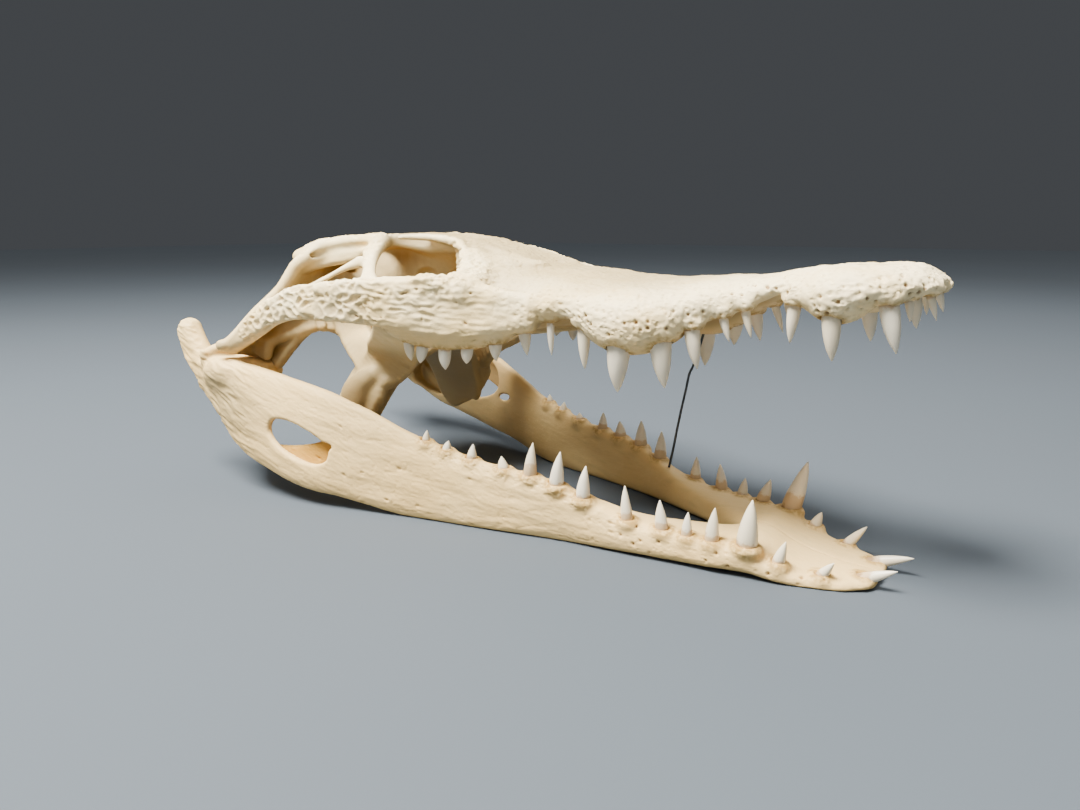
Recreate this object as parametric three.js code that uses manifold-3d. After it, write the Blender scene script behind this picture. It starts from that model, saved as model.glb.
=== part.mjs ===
// Skull of a young Nile crocodile, mouth open, resting on the lower edges of its lower jaw.
// Millimetres. +X runs to the tip of the snout, +Y to the animal's left and +Z up.
// Z = 0 is the surface that the jaw rests on, and the middle of the box lies on the Z axis.
import * as THREE from "three";
import Module from "manifold-3d";
import { mergeVertices } from "three/addons/utils/BufferGeometryUtils.js";

const wasm = await Module();
wasm.setup();

// ---- Driving dimensions ------------------------------------------------------------------------
const MIDDLE_X = -1.5; // the middle of the whole length, from the frame that the sizes below use
const SPLIT_GAP = 0.3; // between the two halves of the lower jaw, which a suture holds in life
const JOINT_GAP = 0.9; // round the hinge, where cartilage lies in life
const ROOF_DEEP = 6; // thickness of the skull table
const SIDES = 6; // of a bar's section
const TOOTH_SIDES = 5;
const ROOT_DEPTH = 4; // how far a tooth's own solid reaches into the bone
const WIRE_RADIUS = 0.5;

// Half width of the upper jaw and cheek, against distance along the skull.
const cheekHalfWidth = curveOf([
  [155.3, 0.5], [153.5, 10.5], [149, 17.5], [142, 22.5], [129, 26], [118, 22.5], [109, 19.2], [100, 22.5],
  [85, 32], [65, 38.8], [48, 37.2], [28, 39], [5, 45.5], [-20, 52],
]);
// Height of the roof of the snout along the midline.
const snoutTop = curveOf([
  [155.3, 93], [153.5, 97], [149, 100.5], [138, 101.6], [118, 100], [100, 97], [62, 95.3], [40, 97.5],
  [18, 101], [0, 105], [-20, 108.8],
]);
// Height of the tooth-bearing edge of the upper jaw, which waves up and down along the snout.
const jawEdge = curveOf([
  [155.3, 92], [150, 91.5], [140, 88.6], [129, 86.4], [118, 87.2], [109, 90.2], [98, 84], [83, 78],
  [64, 73.6], [50, 77.2], [34, 78.8], [18, 70.5], [0, 66.4], [-20, 68.2],
]);
// Height of the flat palate between the tooth rows.
const palate = curveOf([
  [155.3, 92.5], [140, 90.5], [110, 87], [70, 78], [30, 72], [0, 68.5], [-20, 67.5],
]);

// Lower jaw, against distance along it: the outer and inner faces at its upper edge, how much
// further out its lower edge lies, and the heights of both edges.
const jawOuter = curveOf([
  [148.5, 4], [144.5, 11], [138, 16], [129, 20.5], [117, 24.2], [104, 25.8], [80, 28.5], [60, 31.5],
  [49, 33], [20, 38.8], [-10, 44.8], [-40, 52.4], [-60, 58], [-90, 62], [-115, 62.5], [-136, 60],
]);
const jawInner = curveOf([
  [148.5, SPLIT_GAP / 2], [98, SPLIT_GAP / 2], [88, 5], [60, 18.5], [49, 23.6], [20, 31.2], [-10, 36.8],
  [-40, 45.4], [-60, 50.6], [-90, 53.4], [-115, 51], [-136, 49],
]);
const jawFlare = curveOf([
  [148.5, 0], [110, 0.4], [80, 2.4], [50, 5.6], [0, 6.2], [-60, 5.6], [-90, 5.4], [-112, 3.6], [-136, 0],
]);
const jawTop = curveOf([
  [148.5, 3.4], [141, 5], [129, 6.2], [117, 9], [107, 12.6], [96, 11.6], [84, 11.8], [66, 13.6],
  [50, 18.6], [36, 23], [18, 25], [4, 26.6], [-10, 29.6], [-20, 32.6], [-40, 41.4], [-60, 48.6],
  [-84, 53], [-112, 54.6], [-136, 52],
]);
const jawBottom = curveOf([
  [148.5, 2.2], [142, -0.3], [100, -0.6], [20, -0.6], [-16, -0.6], [-26, 0.4], [-36, 2.6], [-50, 5],
  [-62, 6.8], [-76, 9.8], [-90, 13.2], [-102, 16.8], [-112, 21], [-124, 27], [-136, 35],
]);

// Each tooth: where it leaves the bone, as [along, from the midline], its radius, and its tip on the
// right and on the left, as [along, height]. Young and broken teeth are short, as on the real skull.
const UPPER_TEETH = [
  { root: [150.4, 6.5], radius: 1.3, right: [152.9, 85.5], left: [152.4, 86.6] },
  { root: [146.2, 12.4], radius: 1.4, right: [147.1, 85.3], left: [147, 85] },
  { root: [141.8, 17.6], radius: 2.5, right: [145.3, 76.7], left: [143.6, 79.9] },
  { root: [127.6, 21.4], radius: 2.8, right: [128.9, 73.4], left: [129.4, 74.1] },
  { root: [116, 18.2], radius: 2, right: [115.2, 77.2], left: [115.4, 79] },
  { root: [101, 19.6], radius: 1.5, right: [103.6, 78], left: [102.6, 78.4] },
  { root: [95.4, 23.2], radius: 1.5, right: [98, 76.6], left: [99, 74.6] },
  { root: [87, 27.4], radius: 2.2, right: [89.6, 67.8], left: [89.4, 70.2] },
  { root: [77.8, 30.6], radius: 3, right: [80, 59.6], left: [78.2, 67.3] },
  { root: [64.8, 33.6], radius: 3.3, right: [64.5, 56.6], left: [65.4, 55.8] },
  { root: [50.8, 32.8], radius: 1.9, right: [51.2, 64.5], left: [51, 66] },
  { root: [37, 32.8], radius: 1.4, right: [37.6, 68], left: [37.4, 68.4] },
  { root: [26.8, 34.2], radius: 2, right: [28, 67.2], left: [27.6, 67.8] },
  { root: [14.8, 37], radius: 2.3, right: [15.6, 62.2], left: [15.2, 62.8] },
  { root: [5.1, 39.6], radius: 2.2, right: [5.8, 63.2], left: [5.6, 61.2] },
  { root: [-4, 41.6], radius: 2, right: [-3.2, 59.8], left: [-3.4, 61.4] },
  { root: [-12.6, 43.4], radius: 1.9, right: [-13.3, 60.4], left: [-12.8, 62] },
  { root: [-18.6, 45], radius: 1.6, right: [-16.6, 62.8], left: [-17.4, 63.4] },
];
const LOWER_TEETH = [
  { root: [140.6, 7.3], radius: 2.2, right: [150.2, 7.6], left: [152.1, 6.8] },
  { root: [129.2, 15.8], radius: 2.3, right: [133.2, 8.9], left: [135.4, 11.3] },
  { root: [116.8, 19.8], radius: 2.2, right: [119, 13.9], left: [118.9, 11.6] },
  { root: [107, 21.5], radius: 3, right: [108.1, 26.2], left: [112.1, 28.8] },
  { root: [95.6, 23.2], radius: 2.3, right: [96.3, 21.6], left: [98.4, 18.8] },
  { root: [87.2, 24.6], radius: 2, right: [87.5, 18.6], left: [88.1, 17.2] },
  { root: [78.5, 25.4], radius: 2.1, right: [77.3, 21], left: [77.3, 20.6] },
  { root: [66.1, 27.6], radius: 2.2, right: [64.9, 24.3], left: [66.4, 21.2] },
  { root: [49, 29.8], radius: 2.7, right: [50.3, 29.2], left: [49.3, 28.6] },
  { root: [38.8, 31.6], radius: 2.8, right: [40.6, 33.2], left: [38.7, 31.3] },
  { root: [28.2, 33.2], radius: 2.6, right: [29.7, 35.1], left: [27.4, 29.1] },
  { root: [17.6, 35.4], radius: 2.3, right: [16.8, 28.3], left: [17.8, 31.2] },
  { root: [4.1, 37.8], radius: 2.1, right: [5.3, 31.7], left: [3.7, 28.6] },
  { root: [-6.6, 40], radius: 1.9, right: [-5.1, 31.8], left: [-6.1, 31.9] },
  { root: [-15.4, 42], radius: 1.7, right: [-14.3, 35], left: [-15.8, 34] },
];

// ---- Building blocks ---------------------------------------------------------------------------
// A smooth curve through [position, value] pairs, listed from the front of the skull to the back.
function curveOf(pairs) {
  const slopes = pairs.map((_, i) => {
    const [before, after] = [pairs[Math.max(i - 1, 0)], pairs[Math.min(i + 1, pairs.length - 1)]];
    return (after[1] - before[1]) / (after[0] - before[0]);
  });
  return (x) => {
    let i = pairs.findIndex((pair) => x > pair[0]) - 1;
    if (i < -1) i = pairs.length - 2;
    i = Math.max(i, 0);
    const [x0, y0] = pairs[i];
    const [x1, y1] = pairs[i + 1];
    const t = THREE.MathUtils.clamp((x - x0) / (x1 - x0), 0, 1);
    const width = x1 - x0;
    const rise = t * t * (3 - 2 * t);
    return (
      y0 + (y1 - y0) * rise +
      slopes[i] * width * (t * t * t - 2 * t * t + t) +
      slopes[i + 1] * width * (t * t * t - t * t)
    );
  };
}

// The solid whose skin runs over rings of points, with a fan that closes each end.
function skin(rings) {
  const count = rings[0].length;
  const points = rings.flat();
  const faces = [];
  for (let r = 0; r + 1 < rings.length; r++)
    for (let i = 0; i < count; i++) {
      const j = (i + 1) % count;
      const [a, b, c, d] = [r * count + i, r * count + j, (r + 1) * count + i, (r + 1) * count + j];
      faces.push(a, b, c, b, d, c);
    }
  for (const [start, flipped] of [[0, true], [(rings.length - 1) * count, false]]) {
    const centre = new THREE.Vector3();
    for (let i = 0; i < count; i++) centre.addScaledVector(points[start + i], 1 / count);
    points.push(centre);
    for (let i = 0; i < count; i++) {
      const edge = [start + i, start + ((i + 1) % count)];
      faces.push(...(flipped ? [edge[1], edge[0]] : edge), points.length - 1);
    }
  }
  const geometry = new THREE.BufferGeometry().setFromPoints(points);
  geometry.setIndex(faces);
  return solidOf(geometry);
}

// A closed geometry as a manifold-3d solid, turned to face out.
function solidOf(geometry) {
  geometry.deleteAttribute("normal");
  geometry.deleteAttribute("uv");
  const merged = mergeVertices(geometry, 1e-4);
  const build = (triVerts) =>
    new wasm.Manifold(
      new wasm.Mesh({ numProp: 3, vertProperties: merged.attributes.position.array, triVerts }),
    );
  const triVerts = new Uint32Array(merged.index.array);
  const made = build(triVerts);
  if (made.volume() > 0) return made;
  for (let i = 0; i < triVerts.length; i += 3)
    [triVerts[i + 1], triVerts[i + 2]] = [triVerts[i + 2], triVerts[i + 1]];
  return build(triVerts);
}

const join = (solids) => solids.reduce((whole, solid) => whole.add(solid));
const cut = (whole, cutters) => cutters.reduce((rest, cutter) => rest.subtract(cutter), whole);

// A bar along a curve through `path`. Each station has its place, its half size `wide` towards
// `side`, and its half size `deep` across that.
function bar(path, side, steps = path.length + 1, sides = SIDES) {
  const line = new THREE.CatmullRomCurve3(path.map((p) => new THREE.Vector3(...p.at)));
  const sizes = new THREE.CatmullRomCurve3(path.map((p) => new THREE.Vector3(p.wide, p.deep, 0)));
  const rings = [];
  for (let s = 0; s <= steps; s++) {
    const t = s / steps;
    const centre = line.getPoint(t);
    const ahead = line.getTangent(t);
    const size = sizes.getPoint(t);
    const across = new THREE.Vector3(...side).projectOnPlane(ahead).normalize();
    const up = ahead.clone().cross(across);
    rings.push(
      Array.from({ length: sides }, (_, i) => {
        const angle = (i / sides) * 2 * Math.PI;
        return centre
          .clone()
          .addScaledVector(across, size.x * Math.cos(angle))
          .addScaledVector(up, size.y * Math.sin(angle));
      }),
    );
  }
  return skin(rings);
}

// An oval plug with its axis along `axis`, used to cut an opening.
function plug({ at, radii, half, axis = "z", turn = 0, sides = 14 }) {
  const geometry = new THREE.CylinderGeometry(1, 1, 2 * half, sides);
  if (axis === "z") geometry.rotateX(Math.PI / 2);
  geometry.scale(radii[0], axis === "y" ? 1 : radii[1], axis === "y" ? radii[1] : 1);
  if (axis === "z") geometry.rotateZ(turn);
  else geometry.rotateY(turn);
  geometry.translate(...at);
  return solidOf(geometry);
}

function ball(at, radii, sides = 8) {
  const geometry = new THREE.SphereGeometry(1, sides, Math.round(sides * 0.6));
  geometry.scale(...radii);
  geometry.translate(...at);
  return solidOf(geometry);
}

const mirrored = (solid) => solid.mirror([0, 1, 0]);
const bothSides = (solids) => solids.flatMap((solid) => [solid, mirrored(solid)]);

// A curved cone from inside the bone to its tip, a little bowed away from the midline.
function tooth(root, tip, radius) {
  const [base, end] = [new THREE.Vector3(...root), new THREE.Vector3(...tip)];
  const direction = end.clone().sub(base).normalize();
  const crown = end.distanceTo(base);
  const start = base.clone().addScaledVector(direction, -ROOT_DEPTH);
  const belly = base.clone().addScaledVector(direction, crown * 0.5);
  belly.y += Math.sign(root[1]) * 0.07 * crown;
  const line = new THREE.QuadraticBezierCurve3(start, belly, end);
  const across = new THREE.Vector3(0, 1, 0).projectOnPlane(direction).normalize();
  const other = direction.clone().cross(across);
  const shares = crown > 7 ? [[0, 0.9], [0.45, 1], [0.78, 0.6], [1, 0.06]] : [[0, 1], [0.6, 0.9], [1, 0.1]];
  return skin(
    shares.map(([t, share]) =>
      Array.from({ length: TOOTH_SIDES }, (_, i) => {
        const angle = (i / TOOTH_SIDES) * 2 * Math.PI;
        return line
          .getPoint(t)
          .addScaledVector(across, radius * share * Math.cos(angle))
          .addScaledVector(other, radius * share * Math.sin(angle));
      }),
    ),
  );
}

// One side's row of teeth in a jaw whose edge runs at `edge`.
const teethOf = (row, side, edge) =>
  row.map(({ root: [x, y], radius, [side === 1 ? "left" : "right"]: [tipX, tipZ] }) =>
    tooth([x, side * y, edge(x)], [tipX, side * (y + 0.4), tipZ], radius),
  );

// ---- Upper skull -------------------------------------------------------------------------------
// The snout and cheeks: a dome over the tooth-bearing edge, with a flat palate beneath.
function snout() {
  const FRONT = 155.3;
  const BACK = -20;
  const STATIONS = 20;
  const rings = [];
  for (let s = 0; s <= STATIONS; s++) {
    const x = FRONT + (BACK - FRONT) * (s / STATIONS) ** 1.25;
    const half = cheekHalfWidth(x);
    const edge = jawEdge(x);
    const widest = edge + Math.min(4, 0.3 * (snoutTop(x) - edge));
    const profile = [[0, palate(x)], [0.55 * half, palate(x)], [0.84 * half, edge]];
    for (let a = 0; a <= 6; a++) {
      const angle = (a / 6) * (Math.PI / 2);
      profile.push([
        half * Math.cos(angle) ** 0.8,
        widest + (snoutTop(x) - widest) * Math.sin(angle) ** 0.9,
      ]);
    }
    const left = profile.map(([y, z]) => new THREE.Vector3(x, y, z));
    const right = profile.slice(1, -1).reverse().map(([y, z]) => new THREE.Vector3(x, -y, z));
    rings.push([...left, ...right]);
  }
  return skin(rings);
}

// The bar between the orbits and the flat skull table behind it, hollowed at the back of the head.
const tableHalfWidth = curveOf([
  [10, 15], [-8, 11.5], [-26, 9.4], [-40, 12], [-50, 23], [-60, 28], [-82, 31], [-105, 34],
]);
const tableTop = curveOf([
  [10, 102], [-10, 106.6], [-28, 109.2], [-56, 109.4], [-86, 107.4], [-98, 104], [-105, 99],
]);
function roof() {
  const rings = [];
  for (const x of [10, -2, -14, -26, -36, -42, -48, -54, -64, -76, -88, -98, -105]) {
    const [half, top] = [tableHalfWidth(x), tableTop(x)];
    const profile = [[half, -ROOF_DEEP], [half, -1.6], [half - 1.6, 0], [0, x > -45 ? -1 : 0]];
    const left = profile.map(([y, z]) => new THREE.Vector3(x, y, top + z));
    const right = profile.slice(0, -1).reverse().map(([y, z]) => new THREE.Vector3(x, -y, top + z));
    rings.push([...left, ...right]);
  }
  return cut(skin(rings), [plug({ at: [-110, 0, 102], radii: [15, 23], half: 14 })]);
}

// The bony arch under the orbit that runs back to the jaw joint.
const cheekBar = () =>
  bar(
    [
      { at: [14, 37, 84], wide: 3, deep: 6 },
      { at: [-15, 49.5, 83.5], wide: 4.2, deep: 10 },
      { at: [-42, 55, 84], wide: 4, deep: 8.8 },
      { at: [-68, 58.5, 81], wide: 3.6, deep: 6.6 },
      { at: [-92, 59, 73], wide: 3.8, deep: 7 },
      { at: [-112, 56.5, 64], wide: 4.2, deep: 6 },
      { at: [-119, 55, 60.5], wide: 4, deep: 3.6 },
    ],
    [0, 1, 0],
  );

// The post behind the orbit, from the table's front corner down to the cheek bar.
const orbitPost = () =>
  bar(
    [
      { at: [-53, 25, 106], wide: 4.6, deep: 3.4 },
      { at: [-52, 33, 100], wide: 3, deep: 2.4 },
      { at: [-50, 43, 93], wide: 3, deep: 2.4 },
      { at: [-47, 53, 84], wide: 5, deep: 3 },
    ],
    [1, 0, 0],
  );

// The hinge of the jaws, a saddle that runs out from the inner side; `grow` makes room round it.
const hinge = (grow = 0) =>
  bar(
    [
      { at: [-118.5, 40 - 3 * grow, 57.5], wide: 4.6 + grow, deep: 3.6 + grow },
      { at: [-119, 50, 58.5], wide: 3.8 + grow, deep: 3.2 + grow },
      { at: [-118, 60 + 3 * grow, 60.5], wide: 4 + grow, deep: 3 + grow },
    ],
    [1, 0, 0],
    4,
  );

// The quadrate: a broad flange from the back of the table to the jaw joint, and its inner web.
const quadrate = () => [
  bar(
    [
      { at: [-92, 27, 103], wide: 10, deep: 4 },
      { at: [-104, 33, 90], wide: 10, deep: 3.6 },
      { at: [-112, 42, 75], wide: 10, deep: 3.8 },
      { at: [-118, 49, 61], wide: 9.5, deep: 4.2 },
    ],
    [0.3, 1, 0],
  ),
  bar(
    [
      { at: [-70, 9, 84], wide: 3.2, deep: 15 },
      { at: [-88, 20, 78], wide: 3, deep: 12 },
      { at: [-104, 33, 70], wide: 3, deep: 8 },
      { at: [-115, 43, 62], wide: 3.4, deep: 5 },
    ],
    [-0.5, 1, 0],
  ),
  hinge(),
];

// The box round the brain, with the plate at the back of the head and the ball that meets the neck.
const braincase = () => [
  bar(
    [
      { at: [-36, 0, 98], wide: 5, deep: 8 },
      { at: [-52, 0, 90], wide: 9, deep: 16 },
      { at: [-74, 0, 86], wide: 13, deep: 20 },
      { at: [-97, 0, 84], wide: 13, deep: 18 },
    ],
    [0, 1, 0],
  ),
  bar(
    [
      { at: [-96, -32, 96], wide: 4, deep: 4 },
      { at: [-95, -16, 95], wide: 4, deep: 9 },
      { at: [-95, 0, 94], wide: 4, deep: 12 },
      { at: [-95, 16, 95], wide: 4, deep: 9 },
      { at: [-96, 32, 96], wide: 4, deep: 4 },
    ],
    [1, 0, 0],
    8,
  ),
  ball([-100, 0, 77], [5.5, 5, 5]),
  bar(
    [
      { at: [-92, 0, 70], wide: 8, deep: 4 },
      { at: [-90, 0, 59], wide: 6, deep: 2.6 },
    ],
    [0, 1, 0],
    4,
  ),
];

// The palate's bar along the midline, and the wings that hang from its back end.
const palateBar = () =>
  bar(
    [
      { at: [24, 0, 75], wide: 11, deep: 3.6 },
      { at: [-4, 0, 71], wide: 8.5, deep: 3.4 },
      { at: [-34, 0, 67], wide: 8, deep: 4 },
      { at: [-60, 0, 64], wide: 12, deep: 6 },
      { at: [-82, 0, 66], wide: 11, deep: 5 },
    ],
    [0, 1, 0],
  );
const wing = () => [
  bar(
    [
      { at: [-60, 5, 62], wide: 17, deep: 3.4 },
      { at: [-60, 18, 54], wide: 16, deep: 2.4 },
      { at: [-60, 30, 40], wide: 14, deep: 2.4 },
      { at: [-61, 34.5, 28], wide: 9, deep: 3.4 },
    ],
    [1, 0, 0.12],
  ),
  // the rough outer edge of the wing, which slides along the lower jaw
  bar(
    [
      { at: [-49, 36.5, 55], wide: 2.6, deep: 2.6 },
      { at: [-58, 37.6, 49], wide: 3, deep: 4.4 },
      { at: [-66, 37, 40], wide: 3, deep: 4.4 },
      { at: [-66, 35.5, 30], wide: 2.6, deep: 3 },
    ],
    [0, 1, 0.2],
  ),
];
// The strut that ties the wing to the cheek.
const wingStrut = () =>
  bar(
    [
      { at: [-20, 46.5, 77], wide: 11, deep: 3.6 },
      { at: [-31, 43.5, 66], wide: 8, deep: 3.2 },
      { at: [-44, 39, 53], wide: 6.6, deep: 3 },
      { at: [-52, 36, 41], wide: 5.4, deep: 2.8 },
      { at: [-57, 34.5, 30], wide: 3.6, deep: 2.6 },
    ],
    [1, 0, 0.55],
  );

function upperSkull() {
  const orbit = plug({ at: [-24, 29, 96], radii: [25.5, 17.5], half: 22, turn: 0.22 });
  const tableHole = plug({ at: [-73, 15.5, 105], radii: [11.5, 7], half: 9 });
  const palateHole = plug({ at: [-2, 20.5, 74], radii: [31, 10.5], half: 14, turn: 0.12 });
  const nostril = plug({ at: [136.5, 0, 103], radii: [9, 8], half: 9 });
  const throatHole = ball([-72, 0, 58], [5, 5, 4]);
  const face = cut(snout(), [...bothSides([orbit, palateHole]), nostril]);
  const table = cut(roof(), bothSides([tableHole]));
  const arches = join(bothSides([cheekBar(), orbitPost(), ...quadrate()]));
  const under = cut(join([palateBar(), ...bothSides([...wing(), wingStrut()])]), [throatHole]);
  const opened = cut(join([arches, ...braincase()]), bothSides([tableHole]));
  const rows = [1, -1].flatMap((side) => teethOf(UPPER_TEETH, side, (x) => jawEdge(x) + 0.6));
  return join([face, table, opened, under, ...rows]);
}

// ---- Lower jaw ---------------------------------------------------------------------------------
// One half of it, on the animal's left.
function jawHalf() {
  const FRONT = 148.5;
  const BACK = -136;
  const STATIONS = 20;
  const AROUND = 10;
  const rings = [];
  for (let s = 0; s <= STATIONS; s++) {
    const x = FRONT + (BACK - FRONT) * (s / STATIONS);
    const [low, high] = [jawBottom(x), jawTop(x)];
    const [inner, outer] = [jawInner(x), jawOuter(x)];
    rings.push(
      Array.from({ length: AROUND }, (_, i) => {
        const angle = ((i + 0.5) / AROUND) * 2 * Math.PI;
        const squared = (v) => Math.sign(v) * Math.abs(v) ** 0.62;
        const [out, up] = [squared(Math.cos(angle)), squared(Math.sin(angle))];
        const y = (inner + outer) / 2 + ((outer - inner) / 2) * out + (jawFlare(x) / 2) * (1 - up);
        const z = (low + high) / 2 + ((high - low) / 2) * up;
        return new THREE.Vector3(x, Math.max(y, SPLIT_GAP / 2), z);
      }),
    );
  }
  return skin(rings);
}

// The spur behind the joint, and the shelf that carries the joint.
const jawSpur = () => [
  bar(
    [
      { at: [-118, 57, 37], wide: 6, deep: 13 },
      { at: [-134, 55.5, 41], wide: 6, deep: 12 },
      { at: [-146, 54.5, 50], wide: 6, deep: 10 },
      { at: [-151.5, 54, 60], wide: 6, deep: 8 },
      { at: [-153.5, 54, 67], wide: 4.5, deep: 5.6 },
    ],
    [0, 1, 0],
  ),
  bar(
    [
      { at: [-119, 38, 47], wide: 8, deep: 5 },
      { at: [-120, 48, 48], wide: 11, deep: 8 },
      { at: [-121, 58, 49], wide: 11, deep: 8 },
    ],
    [1, 0, 0],
    4,
  ),
];

function lowerJaw(side) {
  const window = plug({ at: [-71, 58, 24.5], radii: [18.5, 9], half: 14, axis: "y", turn: 0.3 });
  const hollow = hinge(JOINT_GAP);
  const muscleHollow = ball([-74, 49, 40], [26, 4.6, 9]);
  const floor = solidOf(new THREE.BoxGeometry(400, 200, 20).translate(0, 0, -10));
  const bone = cut(join([jawHalf(), ...jawSpur()]), [window, hollow, muscleHollow, floor]);
  const teeth = teethOf(LOWER_TEETH, side, (x) => jawTop(x) - 1);
  return join([side === 1 ? bone : mirrored(bone), ...teeth]);
}

// ---- Prop --------------------------------------------------------------------------------------
// The stiff wire that holds the mouth open, from the left lower jaw to the left upper jaw.
const propWire = () =>
  bar(
    [
      { at: [56, 25.5, 18], wide: WIRE_RADIUS, deep: WIRE_RADIUS },
      { at: [58.5, 27, 36], wide: WIRE_RADIUS, deep: WIRE_RADIUS },
      { at: [62.5, 28.4, 58], wide: WIRE_RADIUS, deep: WIRE_RADIUS },
      { at: [68, 28.6, 74.2], wide: WIRE_RADIUS, deep: WIRE_RADIUS },
    ],
    [0, 1, 0],
    8,
    6,
  );

// ---- Assembly ----------------------------------------------------------------------------------
const bone = new THREE.MeshStandardMaterial({ color: 0xe6dcc2, roughness: 0.62, metalness: 0 });
const steel = new THREE.MeshStandardMaterial({ color: 0x2b3033, roughness: 0.45, metalness: 0.8 });

function meshOf(name, solid, material) {
  const { numProp, vertProperties, triVerts } = solid.getMesh();
  const places = new Float32Array((vertProperties.length / numProp) * 3);
  for (let i = 0; i * numProp < vertProperties.length; i++)
    places.set(vertProperties.subarray(i * numProp, i * numProp + 3), i * 3);
  const geometry = new THREE.BufferGeometry();
  geometry.setAttribute("position", new THREE.BufferAttribute(places, 3));
  geometry.setIndex(new THREE.BufferAttribute(triVerts, 1));
  geometry.computeVertexNormals();
  const mesh = new THREE.Mesh(geometry, material);
  mesh.name = name;
  return mesh;
}

const skull = new THREE.Group();
skull.add(
  meshOf("cranium", upperSkull(), bone),
  meshOf("mandible_left", lowerJaw(1), bone),
  meshOf("mandible_right", lowerJaw(-1), bone),
  meshOf("prop_wire", propWire(), steel),
);
skull.position.x = -MIDDLE_X;

export default skull;
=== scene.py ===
"""A young Nile crocodile's skull, mouth held open by a wire, resting on its lower jaw.

The bones are modelled as fields of distance in a fine grid: curved bars and plates are blended
together, openings are cut out, the surface is drawn off the grid and then carved with pits and
ridges. The teeth are lofted one by one. The bone fields work in millimetres, in the frame in which
the tip of the snout lies at SNOUT_TIP, and the meshes are made in metres.
"""

import itertools
import math

import bpy
import numpy as np
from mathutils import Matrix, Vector


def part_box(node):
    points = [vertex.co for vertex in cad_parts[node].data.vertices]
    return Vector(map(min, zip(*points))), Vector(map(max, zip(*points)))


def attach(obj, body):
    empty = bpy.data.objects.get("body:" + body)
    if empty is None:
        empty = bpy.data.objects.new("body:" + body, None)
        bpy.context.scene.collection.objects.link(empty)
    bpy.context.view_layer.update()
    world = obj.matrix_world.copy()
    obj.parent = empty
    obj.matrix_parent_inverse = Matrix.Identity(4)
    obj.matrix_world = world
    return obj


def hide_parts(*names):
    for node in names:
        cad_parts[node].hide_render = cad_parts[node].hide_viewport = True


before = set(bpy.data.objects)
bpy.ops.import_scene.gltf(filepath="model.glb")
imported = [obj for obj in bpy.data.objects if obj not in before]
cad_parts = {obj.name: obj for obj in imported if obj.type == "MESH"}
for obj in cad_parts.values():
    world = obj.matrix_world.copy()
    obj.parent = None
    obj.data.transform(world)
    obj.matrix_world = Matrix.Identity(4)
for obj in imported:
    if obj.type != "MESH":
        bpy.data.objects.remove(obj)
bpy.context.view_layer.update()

# ---- Sizes, in millimetres ---------------------------------------------------------------------
SNOUT_TIP = 155.3
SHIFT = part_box("cranium")[1].x * 1000 - SNOUT_TIP  # from the bones' frame to the part's frame
MM = 0.001
VOXEL = 0.5
FAR = 9.0  # the value of a field well away from bone
SUTURE_GAP = 0.25  # between the two halves of the lower jaw
WIRE_RADIUS = 0.5

CAMERA_AT = (190.0, -253.8, 112.0)
CAMERA_AHEAD = (-0.56612, 0.79312, -0.22466)
CAMERA_LENS = 26.0
CAMERA_SENSOR = 36.0


def curve(*pairs):
    """A smooth curve through (position, value) pairs, as a function of an array of positions."""
    at = np.array([p[0] for p in pairs][::-1], float)
    value = np.array([p[1] for p in pairs][::-1], float)
    slope = np.gradient(value, at)

    def evaluate(x):
        x = np.clip(x, at[0], at[-1])
        i = np.clip(np.searchsorted(at, x) - 1, 0, len(at) - 2)
        width = at[i + 1] - at[i]
        t = (x - at[i]) / width
        rise = t * t * (3 - 2 * t)
        return (
            value[i] + (value[i + 1] - value[i]) * rise
            + slope[i] * width * (t**3 - 2 * t * t + t)
            + slope[i + 1] * width * (t**3 - t * t)
        )

    return evaluate


# Upper jaw, against distance along the skull: half width, roof, tooth-bearing edge and palate.
cheek_half_width = curve(
    (155.3, 2), (153.5, 10.5), (149, 17.5), (142, 22.5), (129, 26), (118, 22.5), (109, 19.2),
    (100, 22.5), (85, 32), (65, 38.8), (48, 37.2), (28, 39), (5, 45.5), (-20, 52),
)
snout_top = curve(
    (155.3, 94.4), (153.5, 96.4), (149, 99.7), (144, 101.1), (133, 100.7), (118, 99.6), (110, 98),
    (102, 96.3), (86, 95.3), (67, 93.9), (55, 94.1), (44, 94.8), (34, 95.7), (22, 96.8), (12, 98.2),
    (3, 101.2), (-7, 103.4), (-20, 106),
)
jaw_edge = curve(
    (155.3, 93.6), (150, 92.4), (140, 90.2), (134, 89.2), (129, 87.6), (123, 87.8), (117, 88.6),
    (111, 90.8), (105, 88.2), (98, 85), (90, 81.8), (82, 78), (76, 77), (70, 75.4), (62, 75.4),
    (55, 78.2), (46, 80), (37, 79.6), (30, 77.2), (20, 72), (11, 69.4), (0, 68.2), (-12, 68.4),
    (-20, 70),
)
palate_height = curve(
    (155.3, 94.2), (140, 92.4), (110, 91.6), (98, 87), (70, 80), (30, 75), (0, 71), (-20, 70),
)

# The flat skull table and the bar between the orbits: half width, height and thickness.
table_half_width = curve(
    (16, 10), (4, 12.5), (-8, 11.4), (-26, 10), (-38, 12.4), (-46, 19), (-52, 25.4), (-60, 28.4),
    (-82, 31.4), (-104, 34.4),
)
table_top = curve(
    (16, 95.4), (4, 100.4), (-10, 103.8), (-28, 106.6), (-38, 108.2), (-46, 109), (-60, 108.6),
    (-74, 107.4), (-86, 105.2), (-98, 102), (-106, 97.6),
)

TABLE_BACK = -101.5  # where the skull table ends

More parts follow.
